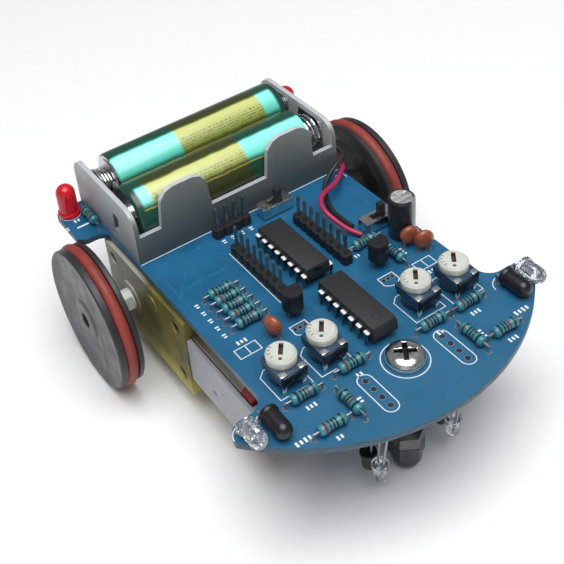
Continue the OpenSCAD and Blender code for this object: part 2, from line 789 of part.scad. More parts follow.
module gear(n, r_tip, depth, y, w) {
    along_y(y) linear_extrude(w) polygon(teeth(n, r_tip, depth));
}

module rotor() {
    color("silver") {
        translate([0, motor_y, 0]) {
            along_x(wall_in - 5.6) cylinder(r = 1, h = motor_end - 1.4 - wall_in + 5.6);
            along_x(wall_in - 5.2) linear_extrude(4.6) polygon(teeth(8, 2.1, 0.7));
            along_x(gearbox_front + 4) cylinder(r = 5.8, h = 12);
        }
    }
}

module gear_bore(r) {
    difference() {
        children();
        along_y(0) cylinder(r = r, h = 60);
    }
}

module crown_gear() {
    color("white") translate([post_x, 0, 0]) gear_bore(post_r + run_gap) {
        gear(12, 3.1, 0.6, motor_y - 5.9, 2);
        along_y(motor_y - 3.9 - eps) cylinder(r = 8.2, h = 0.8);
        for (i = [0:35]) rotate([0, i * 10, 0]) translate([6.4, motor_y - 3.12, -0.25])
            cube([1.7, 0.7, 0.5]);
    }
}

module idler_gear() {
    color("white") gear_bore(spindle_r + run_gap) {
        gear(30, 8.05, 0.8, motor_y - 5.7, 1.6);
        along_y(motor_y - 4.1 - eps) cylinder(r = 2.8, h = 6.7);
        gear(14, 3.7, 0.6, motor_y + 2.6 - eps, 1.6);
    }
}

module reduction_gear() {
    color("white") translate([post_x, 0, 0]) gear_bore(post_r + run_gap) {
        gear(28, 7.5, 0.8, motor_y + 2.6, 1.6);
        gear(15, 3.5, 0.7, motor_y + 4.2 - eps, 2.2);
    }
}

module output_gear() {
    hub_end = wheel_face_y - 2.4;
    color("white") {
        along_y(gearbox_in_y + 1.1) cylinder(r = spindle_r, h = motor_y + 4.4 - gearbox_in_y - 1);
        gear(32, 7.7, 0.8, motor_y + 4.5, 1.8);
        along_y(motor_y + 6.3 - eps) cylinder(r = shaft_r, h = gearbox_face_y + 0.8 - motor_y - 6.3);
        along_y(gearbox_face_y + 0.8 - eps) linear_extrude(hub_end - gearbox_face_y - 0.8)
            shaft_section(0);
    }
}

// The shaft's outer part: round with two flats.
module shaft_section(grow) {
    intersection() {
        circle(shaft_r + grow);
        square([3.7 + 2 * grow, 6], center = true);
    }
}

module wheel() {
    rim = tyre_od / 2 - 0.5;
    inner_y = wheel_face_y - wheel_w;
    groove_y = inner_y + 1.4 + tyre_t / 2;
    color("dimgray") difference() {
        union() {
            along_y(inner_y) cylinder(r = rim, h = wheel_w, $fn = 96);
            along_y(inner_y - 1.2) cylinder(r = 4.6, h = 3);
        }
        along_y(groove_y) rotate_extrude($fn = 96) translate([tyre_od / 2 - tyre_t / 2, 0])
            groove_section();
        along_y(inner_y - 1) difference() {
            cylinder(r = rim - 4.2, h = 3.2, $fn = 96);
            cylinder(r = 4.6, h = 4);
        }
        along_y(0) linear_extrude(wheel_face_y - 2.1) shaft_section(0.03);
        along_y(wheel_face_y - 4) cylinder(r = 1.8, h = 5);
    }
}

module groove_section() {
    circle(tyre_t / 2 + 0.02);
    translate([0, -tyre_t / 2 - 0.02]) square([4, tyre_t + 0.04]);
}

module tyre() {
    groove_y = wheel_face_y - wheel_w + 1.4 + tyre_t / 2;
    color("orangered") along_y(groove_y) rotate_extrude($fn = 96)
        translate([(tyre_od - tyre_t) / 2, 0]) circle(d = tyre_t);
}

// ---------- nodes ----------

deck();
solder_joints();
component_leads();
battery_box();
battery_front();
battery_rear();
battery_springs();
battery_plates();
lead_red();
lead_black();
chip(8, ic1_x, 19.3, true);  // ic1
chip(7, ic2_x, 18.9, false);  // ic2
header_strips_8();
header_strip_4();
header_pins();
switch_frames();
switch_lever(sites_switch[0]);  // power_lever
switch_lever(sites_switch[1]);  // mode_lever
capacitor_can();
capacitor_sleeve();
ceramic_capacitors();
trimmer_bases();
trimmer_knob(sites_trimmer[0]);  // trimmer_far_right
trimmer_knob(sites_trimmer[1]);  // trimmer_right
trimmer_knob(sites_trimmer[2]);  // trimmer_left
trimmer_knob(sites_trimmer[3]);  // trimmer_far_left
resistors_node();  // resistors
transistors();
horn_emitters();
horn_receivers();
floor_emitters();
floor_receivers();
tail_leds();
skid_screw();
hex_nuts();
cap_nut();
foam_tapes();
gearbox_outer_shells();
gearbox_inner_shells();
gearbox_screws();
motor_cans();
motor_caps();
motor_straps();
motor_leads();
on_axle(1) rotor();  // left_rotor
on_axle(1) crown_gear();  // left_crown_gear
on_axle(1) idler_gear();  // left_idler_gear
on_axle(1) reduction_gear();  // left_reduction_gear
on_axle(1) output_gear();  // left_output_gear
on_axle(1) wheel();  // left_wheel
on_axle(1) tyre();  // left_tyre
on_axle(-1) rotor();  // right_rotor
on_axle(-1) crown_gear();  // right_crown_gear
on_axle(-1) idler_gear();  // right_idler_gear
on_axle(-1) reduction_gear();  // right_reduction_gear
on_axle(-1) output_gear();  // right_output_gear
on_axle(-1) wheel();  // right_wheel
on_axle(-1) tyre();  // right_tyre
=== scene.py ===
import math

import bmesh
import bpy
from mathutils import Matrix, Vector


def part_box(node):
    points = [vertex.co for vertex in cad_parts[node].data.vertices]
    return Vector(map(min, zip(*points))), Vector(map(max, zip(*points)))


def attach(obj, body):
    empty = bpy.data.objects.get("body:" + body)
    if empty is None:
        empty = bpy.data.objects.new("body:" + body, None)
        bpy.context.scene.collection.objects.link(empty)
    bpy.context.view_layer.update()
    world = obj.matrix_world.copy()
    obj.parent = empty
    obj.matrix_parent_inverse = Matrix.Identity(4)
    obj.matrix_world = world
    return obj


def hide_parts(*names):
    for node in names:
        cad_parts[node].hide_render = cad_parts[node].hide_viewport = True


# ---------- measures ----------

MM = 0.001
# Spacing of pins and chip legs, in millimetres.
PITCH = 2.54
ROOT = "chassis"
UP, FORWARD, DOWN = (0, 0, 1), (1, 0, 0), (0, 0, -1)

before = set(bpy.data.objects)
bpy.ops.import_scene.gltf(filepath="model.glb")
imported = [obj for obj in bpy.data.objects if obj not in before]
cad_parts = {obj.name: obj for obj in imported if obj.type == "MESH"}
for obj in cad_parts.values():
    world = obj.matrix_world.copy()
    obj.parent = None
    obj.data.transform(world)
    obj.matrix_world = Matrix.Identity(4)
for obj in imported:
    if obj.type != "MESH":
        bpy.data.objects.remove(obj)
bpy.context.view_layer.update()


def centre(node):
    lo, hi = (Vector(corner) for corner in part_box(node))
    return (lo + hi) / 2


def half_size(node):
    lo, hi = (Vector(corner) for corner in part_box(node))
    return (hi - lo) / 2


# Board positions are in millimetres from the skid screw's axis at the deck's top face.
ORIGIN = Vector((centre("skid_screw").x, 0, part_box("deck")[1][2]))


def at(x, y, z=0.0):
    """The place, in metres, of a point given in board millimetres."""
    return ORIGIN + Vector((x, y, z)) * MM


def solids(node):
    """The corners of each separate solid of a CAD node, in board millimetres."""
    bm = bmesh.new()
    bm.from_mesh(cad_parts[node].data)
    bmesh.ops.remove_doubles(bm, verts=bm.verts, dist=1e-6)
    unseen, found = set(bm.verts), []
    while unseen:
        edge_of_search, solid = [unseen.pop()], []
        while edge_of_search:
            vert = edge_of_search.pop()
            solid.append((vert.co - ORIGIN) / MM)
            near = {edge.other_vert(vert) for edge in vert.link_edges} & unseen
            unseen -= near
            edge_of_search += near
        found.append(solid)
    bm.free()
    return sorted(found, key=lambda points: tuple(round(c, 2) for c in span(points)[0]))


def span(points):
    """The low and high corners of the box round some points."""
    return (Vector(min(p[i] for p in points) for i in range(3)),
            Vector(max(p[i] for p in points) for i in range(3)))


def middle_of(points):
    lo, hi = span(points)
    return (lo + hi) / 2


def heading(points):
    """The direction, in degrees seen from above, in which a solid is longest."""
    middle = middle_of(points)
    offsets = [p - middle for p in points]
    xx, yy = sum(d.x * d.x for d in offsets), sum(d.y * d.y for d in offsets)
    xy = sum(d.x * d.y for d in offsets)
    return math.degrees(math.atan2(2 * xy, xx - yy) / 2)


# ---------- mesh tools ----------

def add(name, data):
    """A new object in the scene with this data."""
    made = bpy.data.objects.new(name, data)
    bpy.context.scene.collection.objects.link(made)
    return made


def new_piece(name, mesh_maker, materials, body=ROOT, replaces=(), sharp=35):
    """A piece made by mesh_maker(bm), shaded smooth except at edges sharper than sharp degrees."""
    bm = bmesh.new()
    mesh_maker(bm)
    bmesh.ops.recalc_face_normals(bm, faces=bm.faces)
    mesh = bpy.data.meshes.new(name)
    bm.to_mesh(mesh)
    bm.free()
    mesh.shade_smooth()
    mesh.set_sharp_from_angle(angle=math.radians(sharp))
    for material in materials:
        mesh.materials.append(material)
    piece = add(name, mesh)
    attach(piece, body)
    if replaces:
        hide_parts(*replaces)
    return piece


def turned(origin, direction):
    """A frame at origin whose local Z points along direction."""
    rotation = Vector(direction).to_track_quat("Z", "Y").to_matrix().to_4x4()
    return Matrix.Translation(origin) @ rotation


def polar(radius, turn):
    """The x and y of a point at a distance and a turn in radians."""
    return radius * math.cos(turn), radius * math.sin(turn)


def circle(radius, sides):
    """Evenly spaced (x, y) points round a circle."""
    return [polar(radius, math.tau * k / sides) for k in range(sides)]


def skin(bm, rings, material=0):
    """Joins each ring of vertices to the next by a band of faces."""
    for below, above in zip(rings, rings[1:]):
        for k in range(len(below)):
            j = (k + 1) % len(below)
            bm.faces.new([below[k], below[j], above[j], above[k]]).material_index = material


def lathe(bm, place, profile, sides=32, material=0):
    """Turns a profile of (radius, height[, material]) points, in millimetres, about place's Z."""
    rings = []
    for radius, height, *_ in profile:
        if radius < 1e-6:
            rings.append([bm.verts.new(place @ Vector((0, 0, height * MM)))])
            continue
        rings.append([bm.verts.new(place @ (Vector((x, y, height)) * MM))
                      for x, y in circle(radius, sides)])
    for i in range(len(rings) - 1):
        below, above = rings[i], rings[i + 1]
        index = profile[i][2] if len(profile[i]) > 2 else material
        for k in range(sides):
            corners = [below[k % len(below)], below[(k + 1) % len(below)],
                       above[(k + 1) % len(above)], above[k % len(above)]]
            corners = list(dict.fromkeys(corners))
            if len(corners) > 2:
                bm.faces.new(corners).material_index = index


def block(bm, place, size, centre_at=(0, 0, 0), bevel=0.1, material=0, taper=1.0):
    """A box of size millimetres with rounded edges; its top is shrunk by taper."""
    before = set(bm.faces)
    verts = bmesh.ops.create_cube(bm, size=1.0)["verts"]
    for v in verts:
        shrink = taper if v.co.z > 0 else 1.0
        v.co = Vector((v.co.x * size[0] * shrink, v.co.y * size[1] * shrink, v.co.z * size[2]))
        v.co = (v.co + Vector(centre_at)) * MM
    edges = list({e for v in verts for e in v.link_edges})
    bmesh.ops.bevel(bm, geom=edges, offset=bevel * MM, segments=2, profile=0.5, affect="EDGES")
    # The bevel makes its own faces, so the block's faces are looked up after it.
    faces = [f for f in bm.faces if f not in before]
    for f in faces:
        f.material_index = material
    for v in {v for f in faces for v in f.verts}:
        v.co = place @ v.co


def prism(bm, outline, low_z, high_z):
    """An upright prism over an outline of (x, y) board millimetres."""
    bottom = [bm.verts.new(at(x, y, low_z)) for x, y in outline]
    top = [bm.verts.new(at(x, y, high_z)) for x, y in outline]
    bm.faces.new(bottom[::-1])
    bm.faces.new(top)
    skin(bm, [bottom, top])


def tube(bm, points, radius, sides=12):
    """A round wire of radius millimetres along points given in metres."""
    rings = []
    across = None
    for i, point in enumerate(points):
        ahead = (points[min(i + 1, len(points) - 1)] - points[max(i - 1, 0)]).normalized()
        if across is None:
            across = ahead.orthogonal().normalized()
        across = (across - ahead * across.dot(ahead)).normalized()
        other = ahead.cross(across)
        rings.append([bm.verts.new(point + MM * (x * across + y * other))
                      for x, y in circle(radius, sides)])
    bm.faces.new(rings[0][::-1])
    bm.faces.new(rings[-1])
    skin(bm, rings)


def smooth_path(points, per):
    """A smooth curve through the given points, with per steps from each to the next."""
    path = []
    for i in range(len(points) - 1):
        a, b = points[max(i - 1, 0)], points[i]
        c, d = points[i + 1], points[min(i + 2, len(points) - 1)]
        for k in range(per):
            t = k / per
            path.append(0.5 * (2 * b + (c - a) * t + (2 * a - 5 * b + 4 * c - d) * t * t
                               + (3 * b - a - 3 * c + d) * t ** 3))
    return path + [points[-1]]


# ---------- materials ----------

class Shader:
    """A Principled material and short ways to add nodes to it."""

    def __init__(self, name, roughness=0.5, metallic=0.0, **settings):
        self.material = bpy.data.materials.new(name)
        self.material.use_nodes = True
        self.nodes = self.material.node_tree.nodes
        self.links = self.material.node_tree.links
        self.shader = self.nodes["Principled BSDF"]
        self.shader.inputs["Roughness"].default_value = roughness
        self.shader.inputs["Metallic"].default_value = metallic
        for key, value in settings.items():
            self.shader.inputs[key.replace("_", " ")].default_value = value
        self.coords = self.nodes.new("ShaderNodeTexCoord").outputs["Object"]

    def node(self, kind, inputs=None, **settings):
        made = self.nodes.new("ShaderNode" + kind)
        for key, value in settings.items():
            setattr(made, key, value)
        for key, value in (inputs or {}).items():
            if isinstance(value, bpy.types.NodeSocket):
                self.links.new(value, made.inputs[key])
            else:
                made.inputs[key].default_value = value
        return made

    def noise(self, scale, detail=3.0, coords=None):
        return self.node("TexNoise", {"Vector": coords or self.coords, "Scale": scale,
                                      "Detail": detail}).outputs["Fac"]

    def math(self, operation, a, b=0.0):
        return self.node("Math", {0: a, 1: b}, operation=operation).outputs[0]

    def times(self, a, b):
        return self.math("MULTIPLY", a, b)

    def minus(self, a, b):
        return self.math("SUBTRACT", a, b)

    def ranged(self, value, low_in, high_in, low_out=0.0, high_out=1.0):
        return self.node("MapRange", {"Value": value, "From Min": low_in, "From Max": high_in,
                                      "To Min": low_out, "To Max": high_out}).outputs["Result"]

    def between(self, value, start, stop, fade):
        """1 from start to stop and 0 outside, with a ramp of width fade inside each end."""
        return self.times(self.ranged(value, start, start + fade),
                          self.ranged(value, stop - fade, stop, 1, 0))

    def mix(self, factor, a, b):
        made = self.nodes.new("ShaderNodeMix")
        made.data_type = "RGBA"
        for index, value in ((0, factor), (6, a), (7, b)):
            if isinstance(value, bpy.types.NodeSocket):
                self.links.new(value, made.inputs[index])
            elif index == 0:
                made.inputs[index].default_value = value
            else:
                made.inputs[index].default_value = (*value, 1.0)
        return made.outputs[2]

    def axes(self):
        split = self.node("SeparateXYZ", {"Vector": self.coords})
        return split.outputs[0], split.outputs[1], split.outputs[2]

    def facing(self, axis):
        """How far the surface faces along axis 0, 1 or 2, from -1 to 1."""
        normal = self.node("NewGeometry").outputs["Normal"]
        return self.node("SeparateXYZ", {"Vector": normal}).outputs[axis]

    def squeezed(self, factors):
        """Coordinates multiplied by three factors; a small one draws a pattern out."""
        return self.node("Mapping", {"Vector": self.coords, "Scale": factors}).outputs[0]

    def color(self, value):
        self.links.new(value, self.shader.inputs["Base Color"])

    def rough(self, pattern, smoothest, roughest):
        """Roughness that follows a noise pattern."""
        self.links.new(self.ranged(pattern, 0.3, 0.7, smoothest, roughest),
                       self.shader.inputs["Roughness"])

    def bump(self, height, strength):
        """Relief that is a tenth of a millimetre deep at strength 1."""
        made = self.node("Bump", {"Height": height, "Strength": strength, "Distance": 0.1 * MM})
        self.links.new(made.outputs["Normal"], self.shader.inputs["Normal"])


def shade(color, factor):
    return tuple(min(1.0, c * factor) for c in color)


def surface(name, color, roughness, metallic=0.0, mottle=0.12, scale=350.0, grain=4000.0,
            bump=0.15, **settings):
    """A moulded, drawn or painted surface: uneven tone, uneven gloss and a fine grain."""
    s = Shader(name, roughness, metallic, **settings)
    tone = s.ranged(s.noise(scale), 0.3, 0.7)
    s.color(s.mix(tone, shade(color, 1 - mottle), shade(color, 1 + mottle)))
    s.rough(s.noise(scale * 2.3), roughness * 0.85, min(1, roughness * 1.2))
    s.bump(s.noise(grain, 2.0), bump)
    return s.material


def brushed(name, color, roughness, factors, scale=500.0):
    """Drawn or brushed metal with fine streaks along the axis whose factor is smallest."""
    s = Shader(name, roughness, 1.0)
    streaks = s.noise(scale, 4.0, s.squeezed(factors))
    s.color(s.mix(s.ranged(streaks, 0.3, 0.7), shade(color, 0.8), shade(color, 1.1)))
    s.rough(streaks, roughness * 0.7, roughness * 1.3)
    s.bump(streaks, 0.08)
    return s.material


def board_material():
    """Solder mask on the faces, with painted light making it paler towards the nose, and raw glass
    fibre on the cut edges.
    """
    s = Shader("board", 0.4, 0.0, Specular_IOR_Level=0.3)
    patches = s.ranged(s.noise(90, 2), 0.42, 0.6)
    mask = s.mix(patches, (0.008, 0.092, 0.195), (0.013, 0.112, 0.23))
    speckle = s.ranged(s.noise(2600, 3), 0.45, 0.75, 0, 0.12)
    mask = s.mix(speckle, mask, (0.03, 0.16, 0.30))
    # Painted light: the mask turns paler towards the nose.
    mask = s.mix(s.ranged(s.axes()[0], 0.0, 0.05, 0, 0.5), mask, (0.035, 0.125, 0.21))
    weave = s.ranged(s.noise(500, 3, s.squeezed((1, 1, 9))), 0.35, 0.65)
    edge = s.mix(weave, (0.03, 0.07, 0.11), (0.07, 0.13, 0.17))
    upright = s.math("ABSOLUTE", s.facing(2))
    s.color(s.mix(s.ranged(upright, 0.4, 0.7), edge, mask))
    s.rough(s.noise(260), 0.34, 0.48)
    s.bump(s.noise(1500, 3), 0.06)
    return s.material


# The label's two inks: each as it looks on its side, with a painted highlight at its brightest,
# and in painted shade turned from the light.
MINT = ((0.05, 0.46, 0.33), (0.30, 0.97, 0.86), (0.006, 0.06, 0.036))
LIME = ((0.17, 0.21, 0.03), (0.60, 0.64, 0.23), (0.035, 0.045, 0.010))
GOLD_LINE, LABEL_RIM, LABEL_INK = (0.42, 0.36, 0.06), (0.01, 0.05, 0.035), (0.03, 0.06, 0.01)


def label_material(name, cell, flip, foot, lime_end, plus_sign):
    """A foil label, mint with a lime panel, with a painted highlight band and painted shade below
    foot and over its back.

    Angles round the cell are in radians from the nose's side upwards; distances along it run
    from 0 to 1, from the car's right to its left or, with flip, the other way.
    """
    s = Shader(name, 0.3, 0.0, Coat_Weight=0.08, Coat_Roughness=0.15)
    x, y, z = s.axes()
    middle, reach = centre(cell), half_size(cell).y
    along = s.ranged(s.times(y, -1.0 if flip else 1.0), -reach, reach)
    around = s.math("ARCTAN2", s.minus(z, middle.z), s.minus(x, middle.x))
    wavy = s.math("ADD", around, s.times(s.minus(s.noise(260), 0.5), 0.1))
    lime = s.between(along, 0.395, lime_end, 0.015)
    # Each ink's plain tone, its painted highlight and its painted shade.
    plain, bright, dark = [s.mix(lime, mint, green) for mint, green in zip(MINT, LIME)]
    # Painted highlight towards the top of the lit band; outside the lit band the inks are in
    # painted shade.
    painted_highlight = s.times(s.ranged(wavy, 0.5, 1.2), s.ranged(wavy, 1.36, 1.44, 1, 0))
    lit = s.times(s.ranged(wavy, foot, foot + 0.16), s.ranged(wavy, 1.38, 1.5, 1, 0))
    tint = s.mix(lit, dark, s.mix(painted_highlight, plain, bright))
    line = s.math("COMPARE", wavy, foot - 0.04)
    line.node.inputs[2].default_value = 0.03
    tint = s.mix(s.times(line, 0.6), tint, GOLD_LINE)
    rows = s.ranged(s.math("SINE", s.times(around, 60.0)), 0.2, 0.5)
    dashes = s.times(rows, s.ranged(s.noise(2600, 1), 0.5, 0.56))
    ink = s.times(s.times(lime, s.between(around, 0.52, 1.02, 0.04)), dashes)
    if plus_sign:
        ink = s.math("MAXIMUM", ink, plus_mark(s, along, around, 0.895, 0.8))
    tint = s.mix(s.times(ink, 0.8), tint, LABEL_INK)
    s.color(s.mix(s.between(along, 0.015, 0.985, 0.015), LABEL_RIM, tint))
    s.rough(s.noise(500), 0.24, 0.38)
    s.bump(s.noise(900, 2), 0.04)
    return s.material


def plus_mark(s, along, around, along_at, around_at):
    """1 on a small printed plus centred at along_at and around_at, and 0 elsewhere."""
    cell_length, cell_radius, half_arm, half_line = 49.0, 7.1, 0.85, 0.22
    across = s.math("ABSOLUTE", s.times(s.minus(along, along_at), cell_length))
    up = s.math("ABSOLUTE", s.times(s.minus(around, around_at), cell_radius))
    arms = [s.times(s.math("LESS_THAN", a, half_arm), s.math("LESS_THAN", b, half_line))
            for a, b in ((across, up), (up, across))]
    return s.math("MAXIMUM", *arms)


def box_material():
    """Milky plastic in painted light and shade: brighter towards the thin tops of its walls,
    darker towards their foot, and greyer, in painted shade, on its front.
    """
    s = Shader("box_plastic", 0.46, 0.0, Subsurface_Weight=0.08)
    lo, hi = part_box("battery_box")
    wavy = s.math("ADD", s.axes()[2], s.times(s.noise(130), 0.003))
    # Painted light and shade by height: darker at the walls' foot, brighter towards their tops.
    height = s.ranged(wavy, lo[2], hi[2])
    side = s.mix(height, (0.27, 0.285, 0.31), (0.50, 0.52, 0.53))
    front = s.mix(height, (0.05, 0.062, 0.066), (0.17, 0.195, 0.195))
    # Painted shade on the faces that look towards the nose.
    s.color(s.mix(s.ranged(s.facing(0), 0.6, 0.95), side, front))
    s.rough(s.noise(300), 0.4, 0.54)
    s.bump(s.noise(2600, 2), 0.1)
    return s.material


def gearbox_material():
    """Mustard-yellow shells in painted shade and light: olive painted shade above the yellower
    foot, and a chalky grey painted reflection towards the tail.
    """
    s = Shader("gearbox_plastic", 0.45, 0.0, Subsurface_Weight=0.05)
    x, _, z = s.axes()
    middle, half = centre("gearbox_outer_shells"), half_size("gearbox_outer_shells")
    blotch = s.times(s.noise(120), 0.006)
    # Painted reflection: chalky grey spreads over the upper tail of the shells.
    rear = s.math("ADD", s.minus(middle.x - 0.005, x), s.times(s.minus(z, middle.z), 0.55))
    fade = s.ranged(s.math("ADD", rear, blotch), 0.001, 0.008)
    # Painted shade: the yellow shells turn olive away from the foot.
    painted_shade_olive = s.mix(s.ranged(s.noise(160), 0.35, 0.65), (0.095, 0.085, 0.020), (0.20, 0.175, 0.04))
    foot = s.ranged(s.math("ADD", z, blotch), middle.z - half.z * 0.2, middle.z - half.z * 0.75)
    mustard = s.mix(s.times(foot, 0.8), painted_shade_olive, (0.50, 0.44, 0.08))
    s.color(s.mix(fade, mustard, (0.44, 0.43, 0.37)))
    s.rough(s.noise(300), 0.38, 0.55)
    s.bump(s.noise(2600, 3), 0.12)
    return s.material


def wheel_material():
    """Moulded plastic in painted light and shade: a grey outer face with flow streaks, while the
    bore, groove and inner side stay nearly black.
    """
    s = Shader("wheel_plastic", 0.42)
    face_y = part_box("left_wheel")[1][1]
    # Painted light and shade: only the outward-facing outer face turns grey; the rest stays nearly
    # black.
    outer = s.ranged(s.math("ABSOLUTE", s.axes()[1]), face_y - 0.0016, face_y - 0.0008)
    face = s.times(outer, s.ranged(s.math("ABSOLUTE", s.facing(1)), 0.6, 0.9))
    streaks = s.noise(520, 3, s.squeezed((1, 0.3, 0.22)))
    tone = s.math("ADD", s.times(streaks, 0.7), s.times(s.noise(150, 4), 0.5))
    grey = s.mix(s.ranged(tone, 0.42, 0.8), (0.030, 0.032, 0.037), (0.115, 0.118, 0.130))
    black = s.mix(s.noise(300), (0.012, 0.012, 0.014), (0.028, 0.028, 0.032))
    s.color(s.mix(face, black, grey))
    s.rough(s.noise(240), 0.36, 0.54)
    s.bump(s.math("ADD", tone, s.noise(1800, 3)), 0.1)
    return s.material


def sleeve_material():
    """Black shrink sleeve with one pale stripe down the side."""
    s = Shader("capacitor_sleeve", 0.28, 0.0, Coat_Weight=0.2)
    x, y, _ = s.axes()
    middle = centre("capacitor_can")
    around = s.math("ARCTAN2", s.minus(y, middle.y), s.minus(x, middle.x))
    stripe = s.ranged(s.math("ABSOLUTE", s.minus(around, 0.45)), 0.34, 0.38, 1, 0)
    black = s.mix(s.noise(400), (0.010, 0.011, 0.013), (0.022, 0.024, 0.028))
    s.color(s.mix(stripe, black, s.mix(s.noise(900), (0.16, 0.18, 0.20), (0.26, 0.28, 0.30))))
    s.rough(s.noise(600), 0.24, 0.4)
    s.bump(s.noise(1500, 2), 0.05)
    return s.material


def knob_material(node):
    """An off-white knob, with painted shade in its slot and dimple, and a few printed ticks at its
    rim.
    """
    s = Shader(node + "_plastic", 0.42, 0.0, Subsurface_Weight=0.05)
    x, y, z = s.axes()
    middle, top = centre(node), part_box(node)[1][2]
    dx, dy = s.minus(x, middle.x), s.minus(y, middle.y)
    radius = s.math("SQRT", s.math("ADD", s.times(dx, dx), s.times(dy, dy)))
    around = s.math("ARCTAN2", dy, dx)
    ivory = s.mix(s.ranged(s.noise(500), 0.3, 0.7), (0.50, 0.50, 0.44), (0.60, 0.60, 0.54))
    dashes = s.ranged(s.math("SINE", s.times(around, 16.0)), 0.55, 0.75)
    sector = s.between(around, -2.75, -1.35, 0.05)
    band = s.between(radius, 0.0021, 0.0028, 0.0001)
    ticks = s.times(s.times(dashes, sector), band)
    ivory = s.mix(s.times(ticks, 0.75), ivory, (0.05, 0.04, 0.03))
    # Painted shade: the slot and dimple below the top are coloured dark.
    deep = s.ranged(z, top - 0.0002, top - 0.0005)
    painted_slot_shade = s.times(deep, s.ranged(radius, 0.0026, 0.0028, 1, 0))
    s.color(s.mix(painted_slot_shade, ivory, (0.05, 0.035, 0.025)))
    s.rough(s.noise(700), 0.36, 0.5)
    s.bump(s.noise(4000, 2), 0.1)
    return s.material


def clear_material(name, color, roughness):
    """Water-clear epoxy with faint flow marks."""
    s = Shader(name, roughness, 0.0, Transmission_Weight=0.92, IOR=1.5)
    s.color(s.mix(s.ranged(s.noise(500), 0.3, 0.7), shade(color, 0.94), color))
    s.rough(s.noise(900), roughness, roughness + 0.08)
    s.bump(s.noise(1600, 2), 0.05)
    return s.material


MAT = {
    "board": board_material(),
    "copper": surface("covered_copper", (0.013, 0.118, 0.24), 0.4, mottle=0.1, bump=0.05,
                      Specular_IOR_Level=0.3),
    "print": surface("white_print", (0.66, 0.72, 0.76), 0.55, mottle=0.1, scale=2500, bump=0.3),
    "tin": surface("bright_tin", (0.78, 0.79, 0.81), 0.26, 1.0, mottle=0.15, scale=900,
                   bump=0.2),
    "pad": surface("dull_pad", (0.20, 0.25, 0.29), 0.5, 0.8, mottle=0.3, scale=1500, bump=0.3),
    # A dark disc painted as the shade inside the open pads' holes.
    "painted_hole_shade": surface("painted_hole_shade", (0.03, 0.05, 0.07), 0.4, 0.6, mottle=0.3, scale=1500),
    "leg": surface("chip_leg", (0.93, 0.94, 0.96), 0.35, 0.25, mottle=0.1, scale=900),
    "wire": brushed("tinned_wire", (0.42, 0.44, 0.46), 0.4, (1, 1, 0.1)),
    "box": box_material(),
    "label_front": label_material("front_label", "battery_front", True, 0.6, 0.93, True),
    "label_rear": label_material("rear_label", "battery_rear", False, 0.44, 0.9, False),
    "cell_steel": brushed("cell_steel", (0.62, 0.63, 0.64), 0.24, (1, 0.1, 1)),
    "insulator": surface("cell_insulator", (0.02, 0.10, 0.07), 0.5),
    "spring": brushed("spring_wire", (0.74, 0.75, 0.77), 0.2, (1, 1, 0.2)),
    "red_pvc": surface("red_pvc", (0.40, 0.012, 0.075), 0.42, mottle=0.1, bump=0.1),
    "black_pvc": surface("black_pvc", (0.016, 0.016, 0.018), 0.4, mottle=0.2, bump=0.1),
    "black_plastic": surface("black_plastic", (0.011, 0.011, 0.013), 0.5, mottle=0.25,
                             bump=0.2),
    "navy_plastic": surface("navy_plastic", (0.014, 0.045, 0.09), 0.42, mottle=0.2, bump=0.15),
    "epoxy": surface("chip_epoxy", (0.014, 0.016, 0.016), 0.6, mottle=0.12, scale=700,
                     grain=7000, bump=0.35),
    "to92": surface("transistor_epoxy", (0.008, 0.008, 0.009), 0.45, mottle=0.2, bump=0.2),
    "gold": surface("pin_plating", (0.40, 0.38, 0.33), 0.3, 1.0, mottle=0.25, scale=900),
    "can": brushed("can_aluminium", (0.93, 0.94, 0.95), 0.4, (1, 0.15, 1), 900.0),
    "sleeve": sleeve_material(),
    "ceramic": surface("dipped_ceramic", (0.30, 0.075, 0.03), 0.34, mottle=0.25, scale=500,
                       bump=0.35, Coat_Weight=0.3),
    "resistor": surface("blue_lacquer", (0.03, 0.19, 0.24), 0.34, mottle=0.2, scale=700,
                        bump=0.3, Coat_Weight=0.2),
    "band_dark": surface("dark_band", (0.01, 0.014, 0.012), 0.35, mottle=0.2, bump=0.25),
    "band_brown": surface("brown_band", (0.045, 0.02, 0.012), 0.35, mottle=0.2, bump=0.25),
    "band_red": surface("red_band", (0.14, 0.02, 0.015), 0.35, mottle=0.2, bump=0.25),
    "clear": clear_material("clear_epoxy", (0.93, 0.95, 0.97), 0.04),
    "ir_black": surface("infrared_epoxy", (0.008, 0.007, 0.010), 0.33, mottle=0.2, bump=0.04),
    "red_lamp": surface("red_epoxy", (0.66, 0.008, 0.022), 0.24, mottle=0.2, bump=0.04,
                        Transmission_Weight=0.25),
    "plated": brushed("plated_steel", (0.74, 0.73, 0.71), 0.2, (1, 1, 0.4), 700.0),
    "nut_steel": brushed("nut_steel", (0.17, 0.17, 0.17), 0.38, (1, 1, 0.4), 700.0),
    "dark_steel": brushed("dark_steel", (0.10, 0.10, 0.11), 0.34, (1, 1, 0.4), 700.0),
    "recess": surface("shadowed_steel", (0.010, 0.010, 0.012), 0.5, 0.4),
    "foam": surface("foam_tape", (0.74, 0.73, 0.68), 0.9, mottle=0.1, scale=1500, grain=2500,
                    bump=0.9),
    "gearbox": gearbox_material(),
    "motor_steel": brushed("motor_steel", (0.42, 0.40, 0.34), 0.36, (0.1, 1, 1)),
    "motor_cap": surface("motor_cap", (0.26, 0.03, 0.03), 0.45, mottle=0.12, bump=0.15),
    "strap": surface("strap_plastic", (0.33, 0.32, 0.35), 0.42, mottle=0.08, bump=0.12,
                     Subsurface_Weight=0.1),
    "rotor": brushed("rotor_metal", (0.55, 0.52, 0.46), 0.32, (0.2, 1, 1)),
    "acetal": surface("white_acetal", (0.78, 0.77, 0.73), 0.4, mottle=0.05, bump=0.1,
                      Subsurface_Weight=0.1),
    "wheel": wheel_material(),
    "tyre": surface("tyre_rubber", (0.24, 0.032, 0.022), 0.55, mottle=0.18, scale=260,
                    grain=2500, bump=0.3),
}

# ---------- carried CAD nodes ----------

